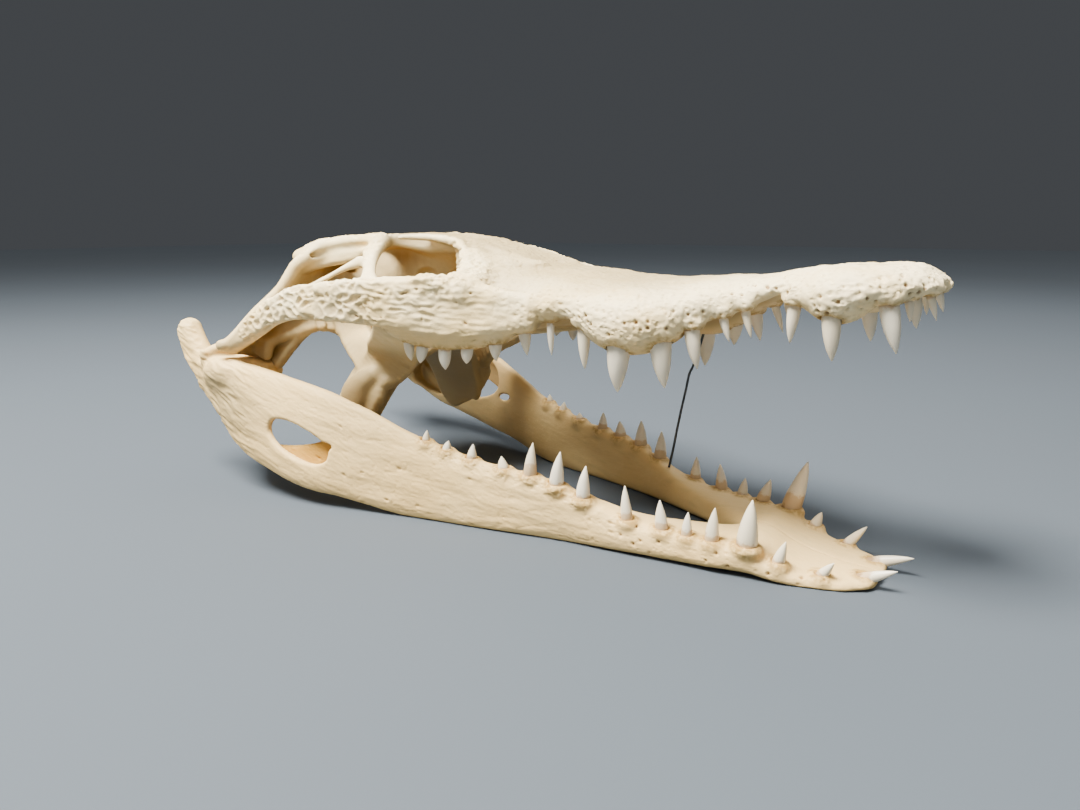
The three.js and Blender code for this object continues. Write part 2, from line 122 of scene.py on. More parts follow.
# Lower jaw: outer and inner faces at its upper edge, how much further out its lower edge lies, and
# the heights of both edges.
jaw_outer = curve(
    (145.6, 3), (143.6, 8.6), (139, 13), (129, 17.4), (117, 22.4), (104, 25.8), (80, 28.5), (60, 31.5),
    (49, 33), (20, 38.8), (-10, 44.8), (-40, 52.4), (-60, 58), (-90, 62), (-115, 62.5), (-136, 60),
)
jaw_inner = curve(
    (145.6, -6), (110, -20), (102, -8), (95, 1), (88, 5.4), (60, 18.5), (49, 23.6), (20, 31.2),
    (-10, 36.8), (-40, 45.4), (-60, 50), (-90, 52.4), (-115, 51), (-136, 49),
)
jaw_flare = curve(
    (145.6, 1.6), (138, 2.4), (129, 2.6), (118, 1.8), (106, 0.6), (80, 1.4), (36, 1.4), (7, 2.6),
    (-18, 3.4), (-40, 4.6), (-60, 5.6), (-90, 5.4), (-112, 3.6), (-136, 0),
)
jaw_top = curve(
    (145.6, 2.6), (141, 3.3), (129, 4.2), (117, 6.6), (107, 10.8), (96, 10.4), (84, 10.8), (66, 12.4),
    (50, 17.2), (36, 21.6), (18, 24), (4, 26), (-10, 29.4), (-20, 32.2), (-40, 40.8), (-60, 47.4),
    (-84, 51.6), (-112, 53.8), (-136, 52),
)
jaw_bottom = curve(
    (145.6, 1.6), (141, 0.2), (100, 0), (20, 0), (-16, 0), (-26, 0.6), (-36, 2.6), (-50, 5),
    (-62, 6.2), (-76, 9), (-90, 12.4), (-102, 15.8), (-112, 21.4), (-124, 30.4), (-136, 38.4),
)

JAW_TIP = 145.2  # where the lower jaw's body is cut off, rounded

BLUNT_BEHIND = 6.0  # the upper teeth behind this are low and blunt
ROOT_DEPTH = 3.2  # how far a tooth goes into the bone
ROOT_FLOOR = 0.6  # no root of a tooth goes below this, so none comes out under the jaw

# Each tooth: (along, from the midline) where it leaves the bone, its radius, and its tip on the
# right and on the left, as (along, height).
UPPER_TEETH = [
    ((150.4, 6.5), 1.3, (152.9, 85.5), (152.4, 86.6)),
    ((146.2, 12.4), 1.4, (147.1, 85.3), (147.0, 85.0)),
    ((141.8, 17.6), 2.8, (145.3, 76.7), (143.6, 79.9)),
    ((127.6, 21.4), 2.8, (128.9, 73.4), (129.4, 74.1)),
    ((116.0, 18.2), 2.0, (115.2, 77.2), (115.4, 79.0)),
    ((101.0, 19.6), 1.5, (103.6, 78.0), (102.6, 78.4)),
    ((95.4, 23.2), 1.5, (98.0, 76.6), (99.0, 74.6)),
    ((87.0, 27.4), 2.5, (89.6, 67.8), (89.4, 70.2)),
    ((77.8, 30.6), 3.6, (80.0, 61.2), (78.2, 67.3)),
    ((64.8, 33.6), 4.0, (64.5, 58.4), (65.4, 57.6)),
    ((50.8, 32.8), 2.3, (51.2, 64.5), (51.0, 66.0)),
    ((37.0, 32.8), 1.4, (37.6, 68.0), (37.4, 68.4)),
    ((26.8, 34.2), 2.4, (28.0, 67.2), (27.6, 67.8)),
    ((16.4, 37.8), 2.6, (16.8, 64.4), (16.6, 64.2)),
    ((5.6, 40.6), 2.3, (5.2, 62.8), (5.4, 61.6)),
    ((-3.6, 42.6), 2.5, (-3.4, 60.0), (-3.4, 60.8)),
    ((-12.7, 44.4), 2.3, (-14.4, 61.6), (-13.8, 61.8)),
    ((-19.1, 45.8), 2.0, (-17.6, 62.4), (-18.4, 62.8)),
]
LOWER_TEETH = [
    ((140.2, 7.3), 2.0, (150.2, 7.6), (152.1, 6.8)),
    ((129.2, 15.2), 1.8, (133.2, 8.9), (135.4, 11.3)),
    ((116.8, 19.4), 2.1, (119.0, 13.9), (118.9, 11.6)),
    ((107.0, 21.5), 3.6, (108.1, 26.2), (112.1, 28.8)),
    ((95.6, 23.2), 2.5, (96.3, 21.6), (98.4, 18.8)),
    ((87.2, 24.6), 2.0, (87.5, 18.6), (88.1, 17.2)),
    ((78.5, 25.4), 2.4, (77.3, 21.0), (77.3, 20.6)),
    ((66.1, 27.6), 2.2, (64.9, 24.3), (66.4, 21.2)),
    ((49.0, 29.8), 2.7, (50.3, 29.2), (49.3, 28.6)),
    ((38.8, 31.6), 2.8, (40.6, 33.2), (38.7, 31.3)),
    ((28.2, 33.2), 2.6, (29.7, 35.1), (27.4, 29.1)),
    ((17.6, 35.4), 2.3, (16.8, 28.3), (17.8, 31.2)),
    ((4.1, 37.8), 2.1, (5.3, 31.7), (3.7, 28.6)),
    ((-6.6, 40.0), 1.9, (-5.1, 31.8), (-6.1, 31.9)),
    ((-15.4, 42.0), 1.7, (-14.3, 35.0), (-15.8, 34.0)),
]


# ---- Fields ------------------------------------------------------------------------------------
def smooth_min(a, b, blend):
    """The lower of two fields, with a fillet of about `blend` where they meet."""
    share = np.maximum(blend - np.abs(a - b), 0) / blend
    return np.minimum(a, b) - share * share * blend * 0.25


def smooth_max(a, b, blend):
    return -smooth_min(-a, -b, blend)


def unit(vector):
    vector = np.asarray(vector, float)
    return vector / np.linalg.norm(vector)


def square_to(ahead, side=(0.0, 1.0, 0.0)):
    """Two directions at right angles to `ahead`, the first of them the nearest to `side`."""
    across = unit(np.asarray(side) - ahead * np.dot(side, ahead))
    return across, np.cross(ahead, across)


def spline(stations, steps=4):
    """More stations along a smooth curve through the given ones, whose rows may hold any numbers."""
    rows = np.array(stations, float)
    padded = np.vstack([2 * rows[0] - rows[1], rows, 2 * rows[-1] - rows[-2]])
    made = []
    for a, b, c, d in zip(padded, padded[1:], padded[2:], padded[3:]):
        for t in np.arange(steps) / steps:
            made.append(
                0.5 * (2 * b + (c - a) * t + (2 * a - 5 * b + 4 * c - d) * t * t
                       + (3 * b - a - 3 * c + d) * t**3)
            )
    made.append(rows[-1])
    return np.array(made)


class Field:
    """Signed distances, negative inside the bone, on a grid over one side of the skull."""

    def __init__(self, low, high):
        self.low = np.array(low, float)
        self.count = [int(math.ceil((high[i] - low[i]) / VOXEL)) + 1 for i in range(3)]
        self.axes = [self.low[i] + VOXEL * np.arange(self.count[i]) for i in range(3)]
        self.values = np.full(self.count, FAR, np.float32)

    def window(self, low, high):
        """The grid between two corners: its slices, and its x, y and z shaped to broadcast."""
        cuts = []
        for i in range(3):
            first = int((low[i] - self.low[i]) / VOXEL) - 1
            last = int((high[i] - self.low[i]) / VOXEL) + 2
            cuts.append(slice(min(max(first, 0), self.count[i]), min(max(last, 0), self.count[i])))
        x, y, z = (self.axes[i][cuts[i]].astype(np.float32) for i in range(3))
        return tuple(cuts), x[:, None, None], y[None, :, None], z[None, None, :]

    def add(self, shape, blend=2.0):
        cuts, values = shape(self)
        self.values[cuts] = smooth_min(self.values[cuts], values, blend)

    def cut(self, shape, blend=1.5):
        cuts, values = shape(self)
        self.values[cuts] = smooth_max(self.values[cuts], -values, blend)


def bar(stations, side, oval=False, steps=4):
    """A curved bar or plate. Each station is x, y, z, its half size towards `side` and its half
    size across that. Its section is a rounded box, or an oval."""
    dense = spline(stations, steps)
    side = np.asarray(side, float)

    def shape(field):
        sizes = dense[:, 3:5]
        reach = sizes.max() + FAR * 0.7
        cuts, *_ = field.window(dense[:, :3].min(0) - reach, dense[:, :3].max(0) + reach)
        values = np.full([c.stop - c.start for c in cuts], FAR, np.float32)
        for start, end in zip(dense, dense[1:]):
            reach = max(start[3:].max(), end[3:].max()) + FAR * 0.7
            low = np.minimum(start[:3], end[:3]) - reach
            high = np.maximum(start[:3], end[:3]) + reach
            local, x, y, z = field.window(low, high)
            span = end[:3] - start[:3]
            length = np.linalg.norm(span)
            if length < 1e-6 or 0 in (x.size, y.size, z.size):
                continue
            ahead = span / length
            across, up = square_to(ahead, side)
            rel = (x - start[0], y - start[1], z - start[2])
            along = sum(r * float(a) for r, a in zip(rel, ahead))
            t = np.clip(along / length, 0, 1)
            beyond = along - t * length
            wide = start[3] + (end[3] - start[3]) * t
            deep = start[4] + (end[4] - start[4]) * t
            a = np.abs(sum(r * float(v) for r, v in zip(rel, across)))
            b = np.abs(sum(r * float(v) for r, v in zip(rel, up)))
            radius = np.minimum(wide, deep)
            if oval:
                near = np.sqrt((a / wide) ** 2 + (b / deep) ** 2 + (beyond / radius) ** 2)
                rate = np.sqrt((a / wide**2) ** 2 + (b / deep**2) ** 2 + (beyond / radius**2) ** 2)
                gap = near * (near - 1) / np.maximum(rate, 1e-6)
            else:
                a = np.maximum(a - (wide - radius), 0)
                b = np.maximum(b - (deep - radius), 0)
                gap = np.sqrt(a * a + b * b + beyond * beyond) - radius
            inner = tuple(
                slice(w.start - c.start, w.stop - c.start) for w, c in zip(local, cuts)
            )
            values[inner] = np.minimum(values[inner], gap)
        return cuts, values

    return shape


def ball(at, radii, turn=0.0):
    """An ellipsoid, turned about Z."""
    radii = np.asarray(radii, float)

    def shape(field):
        reach = radii.max() + 3
        cuts, x, y, z = field.window(np.subtract(at, reach), np.add(at, reach))
        x, y, z = x - at[0], y - at[1], z - at[2]
        x, y = x * math.cos(turn) + y * math.sin(turn), y * math.cos(turn) - x * math.sin(turn)
        near = np.sqrt((x / radii[0]) ** 2 + (y / radii[1]) ** 2 + (z / radii[2]) ** 2)
        rate = np.sqrt(
            (x / radii[0] ** 2) ** 2 + (y / radii[1] ** 2) ** 2 + (z / radii[2] ** 2) ** 2
        )
        return cuts, near * (near - 1) / np.maximum(rate, 1e-6)

    return shape


def loft(function, low, high):
    """A shape whose function of x, y and z is negative inside, scaled so that it measures gaps."""

    def shape(field):
        cuts, x, y, z = field.window(low, high)
        values = function(x, y, z)
        slopes = np.gradient(values, VOXEL)
        steepness = np.sqrt(sum(s * s for s in slopes))
        return cuts, np.clip(values / np.maximum(steepness, 0.15), -FAR, FAR)

    return shape


def sample(field, values, points):
    """Values of a grid at points, between the grid's own places."""
    place = (points - field.low) / VOXEL
    base = np.floor(place).astype(int)
    base = np.clip(base, 0, np.array(values.shape) - 2)
    part = np.clip(place - base, 0, 1)
    total = np.zeros(len(points))
    for corner in itertools.product((0, 1), repeat=3):
        weight = np.prod(np.where(corner, part, 1 - part), axis=1)
        i, j, k = (base + corner).T
        total += weight * values[i, j, k]
    return total


def mirrored_field(field):
    """The same field over both sides. The grid's second layer in y lies on the midline."""
    whole = Field.__new__(Field)
    whole.values = np.concatenate([field.values[:, :1:-1], field.values[:, 1:]], axis=1)
    whole.low = field.low.copy()
    whole.low[1] = field.axes[1][1] - VOXEL * (field.count[1] - 2)
    whole.count = list(whole.values.shape)
    whole.axes = [whole.low[i] + VOXEL * np.arange(whole.count[i]) for i in range(3)]
    return whole


def surface_of(field):
    """Points and four-sided faces of the bone's surface, one point for each grid cell it crosses."""
    values = field.values
    inside = values < 0
    corners = list(itertools.product((0, 1), repeat=3))
    shape = np.array(values.shape) - 1

    def corner_of(grid, corner):
        return grid[tuple(slice(c, c + n) for c, n in zip(corner, shape))]

    filled = sum(corner_of(inside, c).astype(np.int8) for c in corners)
    crossed = (filled > 0) & (filled < 8)
    cells = np.argwhere(crossed)
    index = np.full(crossed.shape, -1, np.int64)
    index[crossed] = np.arange(len(cells))
    at_corner = {c: values[tuple((cells + c).T)] for c in corners}
    total = np.zeros((len(cells), 3))
    hits = np.zeros(len(cells))
    for a, b in itertools.combinations(corners, 2):
        if sum(abs(m - n) for m, n in zip(a, b)) != 1:
            continue
        va, vb = at_corner[a], at_corner[b]
        split = (va < 0) != (vb < 0)
        share = np.where(split, va / np.where(split, va - vb, 1), 0)
        total += np.where(split[:, None], a + share[:, None] * np.subtract(b, a), 0)
        hits += split
    points = field.low + VOXEL * (cells + total / hits[:, None])
    faces = []
    for axis in range(3):
        step = np.eye(3, dtype=int)[axis]
        one, two = np.eye(3, dtype=int)[(axis + 1) % 3], np.eye(3, dtype=int)[(axis + 2) % 3]
        trimmed = tuple(slice(1, -1) if i != axis else slice(0, -1) for i in range(3))
        ahead = tuple(slice(1, -1) if i != axis else slice(1, None) for i in range(3))
        rising = inside[trimmed] & ~inside[ahead]
        falling = ~inside[trimmed] & inside[ahead]
        for mask, order in ((rising, 1), (falling, -1)):
            at = np.argwhere(mask) + 1 - step
            ring = [at - one - two, at - two, at, at - one][::order]
            faces.append(np.stack([index[tuple(r.T)] for r in ring], axis=1))
    return points, np.vstack(faces)


def drawn_to_surface(field, points, rounds=2):
    """Points moved on to the surface itself, and the surface's normals there."""
    slopes = np.gradient(field.values, VOXEL)
    for _ in range(rounds):
        normal = np.stack([sample(field, s, points) for s in slopes], axis=1)
        size = np.maximum(np.linalg.norm(normal, axis=1, keepdims=True), 0.3)
        step = sample(field, field.values, points)[:, None] * normal / size**2
        points = points - np.clip(step, -VOXEL / 2, VOXEL / 2)
    normal = np.stack([sample(field, s, points) for s in slopes], axis=1)
    return points, normal / np.maximum(np.linalg.norm(normal, axis=1, keepdims=True), 1e-6)


def crowding(field, points, normals, ahead, radius):
    """How much bone stands around the space `ahead` mm in front of each point, from 0 to 1."""
    solid = np.clip(0.5 - field.values / VOXEL, 0, 1).astype(np.float32)
    width = int(radius / VOXEL)
    for axis in range(3):
        for _ in range(2):
            pad = [(width + 1, width) if i == axis else (0, 0) for i in range(3)]
            running = np.cumsum(np.pad(solid, pad, mode="edge"), axis=axis)
            n = solid.shape[axis]
            top = np.take(running, np.arange(n) + 2 * width + 1, axis=axis)
            low = np.take(running, np.arange(n), axis=axis)
            solid = (top - low) / (2 * width + 1)
    return sample(field, solid, points + normals * ahead)


# ---- Noise -------------------------------------------------------------------------------------
LATTICE = 64
LATTICE_START = 500.0  # added to each place, so that none lies below zero
_dice = np.random.default_rng(11)
_directions = _dice.normal(size=(LATTICE, LATTICE, LATTICE, 3))
_directions /= np.linalg.norm(_directions, axis=3, keepdims=True)
_scatter = _dice.random((LATTICE, LATTICE, LATTICE, 3))


def noise(points, size, offset=0.0):
    """Smooth noise from about -1 to 1. `size` is its grain in mm, one number or one for each axis."""
    place = points / size + offset + LATTICE_START
    base = np.floor(place).astype(int)
    part = place - base
    fade = part**3 * (part * (part * 6 - 15) + 10)
    total = np.zeros(len(points))
    for corner in itertools.product((0, 1), repeat=3):
        i, j, k = ((base + corner) % LATTICE).T
        weight = np.prod(np.where(corner, fade, 1 - fade), axis=1)
        total += weight * np.einsum("ij,ij->i", part - corner, _directions[i, j, k])
    return np.clip(total * 1.7, -1, 1)


def cloud(points, size, offset=0.0, octaves=3):
    """Several sizes of noise together."""
    total = sum(noise(points, np.divide(size, 2**n), offset + 7.3 * n) / 2**n for n in range(octaves))
    return total / 1.5


def ridges(points, size, offset=0.0):
    """Noise folded into sharp, winding crests, from 0 to 1."""
    return 1 - np.abs(noise(points, size, offset)) * 2.2


def spots(points, size, offset=0.0, share=1.0):
    """The distances to the nearest and the next of the spots scattered in space, in units of `size`.
    `share` is how many of the spots are kept."""
    place = points / size + offset + LATTICE_START
    base = np.floor(place).astype(int)
    best = np.full(len(points), 9.0)
    second = best.copy()
    for step in itertools.product((-1, 0, 1), repeat=3):
        cell = base + step
        i, j, k = (cell % LATTICE).T
        gap = np.linalg.norm(place - cell - _scatter[i, j, k], axis=1)
        gap[_directions[i, j, k, 0] > 2 * share - 1] = 9.0
        second = np.minimum(second, np.maximum(best, gap))
        best = np.minimum(best, gap)
    return best, second


def pits(points, size, radius, offset=0.0, share=1.0):
    """1 in the middle of scattered round pits and 0 outside them. `radius` is a share of `size`."""
    return 1 - ramp(spots(points, size, offset, share)[0], 0.3 * radius, radius)


def network(points, size, width, offset=0.0):
    """1 on the crests of a net of rounded hollows, falling to 0 at `width` from them."""
    best, second = spots(points, size, offset)
    return 1 - ramp(second - best, 0, width)


def within(region, points, pattern, *settings):
    """A pattern worked out only where `region` isn't 0, to save time."""
    values = np.zeros(len(points))
    some = region > 0.01
    values[some] = pattern(points[some], *settings)
    return values * region


def ramp(value, low, high):
    t = np.clip((value - low) / (high - low), 0, 1)
    return t * t * (3 - 2 * t)


# ---- Upper skull -------------------------------------------------------------------------------
def snout(x, y, z):
    """The upper jaw: a dome over the tooth rows, with the palate beneath."""
    along = x[:, 0, 0]
    power = 2.3
    half, top, edge, palate = (
        f(along)[:, None, None] for f in (cheek_half_width, snout_top, jaw_edge, palate_height)
    )
    widest = edge + np.minimum(5.0, 0.34 * (top - edge))
    over = np.maximum(z - widest, 0) / (top - widest)
    across = np.abs(y) / half
    dome = (across**power + over**power) ** (1 / power) - 1
    under = np.maximum(widest - z, 0) / (widest - edge + 1e-6)
    flank = across + 0.1 * under**2 - 1
    outer = np.maximum(dome, flank) * np.minimum(half, top - widest)
    slope = ramp(across, 0.5, 0.84)
    floor = palate + (edge - palate) * slope + 1.6 * (1 - across**2) * (1 - slope)
    return smooth_max(outer, floor - z, 2.4)


def roof(x, y, z):
    """The flat skull table and the bar between the orbits, whose rims stand up a little."""
    along = x[:, 0, 0]
    half, top = (f(along)[:, None, None] for f in (table_half_width, table_top))
    thick = (4.2 + 1.4 * ramp(along, -60, -40))[:, None, None]
    across = np.abs(y) / half
    rim = 1.1 * np.clip(across, 0, 1) ** 3 * ramp(along, -52, -40)[:, None, None]
    keel = (2.2 + 4.2 * ramp(along, -60, -40))[:, None, None] * np.clip(1 - across, 0, 1)
    above = z - (top + rim - 0.5)
    below = (top + rim - thick - keel) - z
    slab = smooth_max(smooth_max(above, below, 1.5), (across - 1) * half, 2.2)
    return smooth_max(slab, TABLE_BACK - x, 2.5)


JUGAL = [
    (30, 36, 82, 3, 6), (14, 40.5, 82.5, 3.4, 9), (-4, 46, 83, 3.4, 11), (-18, 51, 84, 3.6, 9.8),
    (-34, 55.5, 84.4, 3.2, 8.6), (-50, 58.4, 83.6, 3, 7.6), (-66, 59.6, 82.2, 2.8, 6.4),
    (-80, 59.8, 78.4, 2.8, 5.8), (-92, 59.4, 72.4, 3, 5.4), (-104, 58, 66.4, 3.2, 4.6),
    (-114, 56.4, 61.6, 3.4, 3.6),
]


def orbit_rim():
    """The raised rim round the front and the inner side of the orbit."""
    rim = [
        (-50, 18, 107, 0.8, 0.8), (-43, 13.4, 107.2, 1.4, 1.3), (-35, 11.2, 106.8, 1.5, 1.4),
        (-25, 11.4, 105.6, 1.6, 1.5), (-16, 16.6, 103, 1.8, 1.8), (-8, 25, 99.4, 2, 1.8),
        (-1.4, 32, 95.6, 2, 2), (2.2, 39, 93.6, 2.2, 2), (0.4, 45, 92.8, 2, 1.8),
        (-9, 49.2, 92.4, 2, 1.6),
    ]
    return bar(rim, (0, 0, 1), oval=True)


def upper_skull():
    """The field of the upper skull's left side."""
    bone = Field((-126, -VOXEL, 21), (158, 67, 113))
    bone.add(loft(snout, (-24, -2, 60), (158, 60, 112)))
    orbit = loft(
        lambda x, y, z: oval_gap(x + 30, y - 28.6, (25.5, 17.4), 0.3, 2.4) + 0 * z,
        (-62, 0, 80), (12, 60, 113))
    bone.cut(orbit, 2.5)
    # the hollow beneath the orbit, which opens through the palate
    bone.cut(ball((-6, 23, 76), (31, 12.5, 20), turn=0.16), 3)
    bone.cut(ball((-30, 31, 86), (21, 16, 13), turn=0.2), 3)
    bone.add(loft(roof, (-110, -2, 88), (16, 44, 113)), 3)
    bone.cut(orbit, 2.0)
    bone.add(bar(JUGAL, (0, 1, 0.1)), 3)
    bone.add(orbit_rim(), 2.5)
    # lacrimal and maxillary swellings, and the low ridges in front of the orbits
    bone.add(ball((9, 12.6, 97), (10, 4.6, 2.2), turn=-0.2), 4)
    bone.add(ball((34, 11, 92), (9, 3.6, 2), turn=-0.1), 4)
    bone.add(
        bar([(-8, 19, 98.8, 3, 2.8), (0, 27, 93.4, 4, 3.4), (6.5, 35, 90.4, 4.4, 3.4),
             (6, 43, 89, 4, 3.4)], (0, 0, 1), oval=True), 5)
    bone.add(ball((66, 30, 80), (16, 8.5, 9)), 8)
    bone.add(ball((129, 18, 91), (8, 7, 7)), 6)
    # postorbital bar
    bone.add(
        bar([(-58, 24.5, 104.4, 6.4, 3), (-53.4, 30.6, 100.6, 3.8, 2.5), (-46, 38.6, 96.4, 2.5, 2.1),
             (-39, 46, 92, 3.2, 2.2), (-33, 52, 86.4, 7.6, 2.8)], (1, 0, 0)), 3)
    quadrate_bones(bone)
    braincase_bones(bone)
    palate_bones(bone)
    # holes in the table, the nostril with its passage, and the small hole in the palate below it
    bone.cut(ball((-73.5, 15.5, 107), (12, 7.2, 9), turn=0.12), 2.2)
    bone.cut(ball((-74, 17, 97), (15, 6.5, 8)), 2.5)
    bone.cut(ball((137, 0, 103.4), (8.6, 7.6, 7)), 2)
    bone.cut(ball((126, 0, 96), (14, 4.6, 3.6)), 2)
    bone.cut(ball((141, 0, 90), (3.6, 2.4, 5)), 1.5)
    for (x, y), radius, *_ in UPPER_TEETH:
        collar(bone, (x, y, float(jaw_edge(x))), radius, -1)
    return bone


def oval_gap(x, y, radii, turn, power):
    """Below zero within a turned oval. x and y are measured from its middle."""
    along = x * math.cos(turn) + y * math.sin(turn)
    across = y * math.cos(turn) - x * math.sin(turn)
    near = (np.abs(along / radii[0]) ** power + np.abs(across / radii[1]) ** power) ** (1 / power)
    return (near - 1) * min(radii)


def collar(bone, at, radius, up):
    """The swelling round a tooth, and the socket in its middle. `up` is 1 in the lower jaw."""
    x, y, z = at
    bone.add(ball((x, y, z - up * 1.7), (radius + 1.7, radius + 1.5, 2.7)), 2)
    bone.cut(ball((x, y, z + up * 1.4), (radius + 0.55, radius + 0.5, 2.6)), 0.5)


def quadrate_bones(bone):
    """The quadrate, from the back of the table to the jaw joint, and the struts round the temple."""
    bone.add(
        bar([(-86, 27, 101, 9, 3), (-94.5, 31, 95, 9.4, 2.8), (-100, 36, 84.6, 9.6, 2.8),
             (-108, 42, 75, 10, 3), (-114.5, 48, 65.5, 9.4, 3.6), (-117.6, 51, 61, 8.6, 3.6)],
            (0.3, 1, 0)), 3)
    # the deep side wall of the table, with the groove of the ear flap along it
    bone.add(
        bar([(-57, 26, 103, 2, 3.6), (-68, 28.8, 101.6, 2, 5), (-80, 30.4, 100, 2, 5.2),
             (-92, 32, 97, 2, 4.6)], (0, 1, 0)), 3)
    bone.cut(
        bar([(-58, 29.6, 104, 1, 0.9), (-72, 32.8, 102.4, 1.2, 1.2), (-86, 34.8, 99.4, 1, 1)],
            (0, 1, 0), oval=True), 1.8)
    # the sheet that runs from the quadrate inwards to the braincase, and the plate below it
    bone.add(
        bar([(-66, 10, 82, 1.8, 14), (-80, 17, 79, 1.7, 15), (-94, 26, 76, 1.7, 11.5),
             (-106, 36, 69, 1.9, 9.4), (-114, 42, 61, 2.2, 6)], (-0.5, 1, 0)), 3)
    # the flange that hangs from the quadrate's inner side down to the hinge
    bone.add(
        bar([(-98, 31.5, 70, 7, 2), (-105, 35.6, 62, 7.4, 2.1), (-111.4, 38.8, 54.6, 8, 2.4)],
            (1, 0, 0)), 3)
    bone.add(bar([(-111, 44, 62, 6, 2.2), (-112.6, 44.6, 56.8, 6.4, 2.4)], (1, 0, 0)), 2)
    # the hinge: two rollers with a dip between them
    bone.add(
        bar([(-119, 38.5, 57.2, 3.6, 3.2), (-119, 44, 57.6, 4.2, 3.6), (-118.6, 50, 58.8, 3.4, 3),
             (-118, 56, 60, 4, 3.2), (-117.4, 60.5, 61, 3.2, 2.6)], (1, 0, 0), oval=True), 2)
    # the thin spine at the bottom of the temple window
    bone.add(
        bar([(-68, 53, 86.6, 1.5, 2.2), (-61, 49.4, 91, 0.9, 1.1), (-54.6, 45, 95, 0.9, 1.1),
             (-49, 40, 98, 1.6, 2.4)], (0, 1, 0), oval=True), 2)
    # the back corner of the table, drawn out over the ear
    bone.add(
        bar([(-82, 29.6, 103.8, 3.4, 1.8), (-90, 31.2, 100.8, 3, 2), (-96, 32.4, 96.4, 2.4, 2)],
            (0, 1, 0)), 3)


def braincase_bones(bone):
    """The box round the brain, the plate at the back of the head and the ball of the neck joint."""
    bone.add(
        bar([(-34, 0, 99, 3, 5), (-44, 0, 96, 5, 9), (-58, 0, 91, 9.5, 14), (-76, 0, 87, 12, 17),
             (-94, 0, 86, 12, 16)], (0, 1, 0), oval=True), 4)
    bone.add(
        bar([(-97, 0, 95, 3, 10), (-97, 14, 94.6, 2.6, 8.6), (-98, 26, 92, 2.2, 5.5),
             (-100, 33, 88, 2, 4)], (1, 0, 0)), 3)
    bone.add(ball((-101, 0, 76.5), (5.4, 4.8, 4.6)), 1.5)
    bone.add(bar([(-92, 0, 70, 9, 3.4), (-90, 0, 57, 6, 2)], (0, 1, 0)), 3)
    bone.cut(ball((-100, 0, 85.5), (9, 4.4, 3.8)), 1)
    bone.cut(ball((-46, 6.5, 91), (5, 3, 3.4)), 1.5)
    bone.cut(ball((-60, 14, 88), (4, 3.5, 4)), 1.5)


def palate_bones(bone):
    """The bar along the palate's midline, the wings behind it, and the struts to the cheeks."""
    bone.add(
        bar([(34, 0, 77, 12, 3), (12, 0, 73.4, 9, 3), (-10, 0, 70.4, 7, 2.8), (-34, 0, 67.4, 6.6, 3),
             (-56, 0, 64.4, 9.6, 3.4), (-80, 0, 64, 11, 4)], (0, 1, 0)), 4)
    bone.add(
        bar([(-57, 3, 63, 20, 3.2), (-59, 14, 57.5, 18, 2.4), (-61.4, 24, 48.5, 15.2, 2),
             (-63.5, 31, 38, 14, 1.9), (-65.6, 34.4, 30.6, 12, 1.9), (-64, 35.4, 26.6, 7, 1.8)],
            (1, 0, 0.06), steps=6), 4)
    # the rough ridge along the wing's back edge
    bone.add(
        bar([(-81, 19, 68.6, 7, 2), (-71, 24.6, 63.6, 7.4, 2), (-60.6, 29, 57.4, 7, 2),
             (-54, 32.4, 51.6, 6, 2)], (1, 0, 0)), 4)
    # the rough pad on the wing's outer edge
    bone.add(
        bar([(-52, 34.4, 51.6, 3, 3.4), (-57, 36.4, 47.8, 3.4, 5), (-61.6, 37.4, 41.6, 3.4, 6.6),
             (-64.6, 36.6, 32, 2.4, 5)], (0, 1, 0.2), oval=True), 2.5)
    # the broad, smooth strut from the wing's edge up to the end of the tooth row
    bone.add(
        bar([(-23, 45.6, 79, 13, 3), (-28, 42.4, 72, 11, 2.8), (-35.4, 37, 65, 11, 2.6),
             (-44.8, 31.6, 59, 11, 2.4), (-51, 30.4, 53.4, 10.2, 2.6), (-53.6, 32.4, 48, 8.8, 2.8),
             (-53, 34.4, 43, 7.4, 2.6), (-53.8, 35.2, 37.4, 4.4, 2)],
            (1, 0, 0)), 3)
    # the walls that stand on the palate inside the orbits
    bone.add(
        bar([(-14, 13, 101, 3.4, 2), (-11, 12, 91, 2.8, 1.8), (-8, 9.5, 80, 2.8, 1.8),
             (-8, 6, 72, 4, 2)], (1, 0, 0), oval=True), 3)
    bone.cut(ball((-74, 0, 57), (5.5, 5.5, 5)), 1.5)
    # the back of the upper tooth row
    bone.add(
        bar([(10, 38, 75, 5.4, 5.4), (-6, 41.6, 73.4, 4.4, 5.6), (-18, 45, 74, 3, 4.6)], (0, 1, 0)), 3)


# ---- Lower jaw ---------------------------------------------------------------------------------
def jaw_shares(x, y, z):
    """Places in the jaw's section: from the inner (-1) to the outer face (1), and from the lower
    (-1) to the upper edge (1), with half the section's width and height."""
    along = x[:, 0, 0]
    outer, inner, flare, top, bottom = (
        f(along)[:, None, None] for f in (jaw_outer, jaw_inner, jaw_flare, jaw_top, jaw_bottom)
    )
    share = (z - bottom) / (top - bottom)
    lean = flare * (1 - np.clip(share, -0.2, 1.2))
    across = (y - (outer + inner) / 2 - lean) / ((outer - inner) / 2)
    return across, 2 * share - 1, (outer - inner) / 2, (top - bottom) / 2


def jaw_body(x, y, z):
    """The jaw from its tip to the joint, as one long box with rounded edges."""
    across, up, half_width, half_height = jaw_shares(x, y, z)
    power = 2.8
    near = (np.abs(across) ** power + np.abs(up) ** power) ** (1 / power) - 1
    return smooth_max(near * np.minimum(half_width, half_height), x - JAW_TIP, 2)


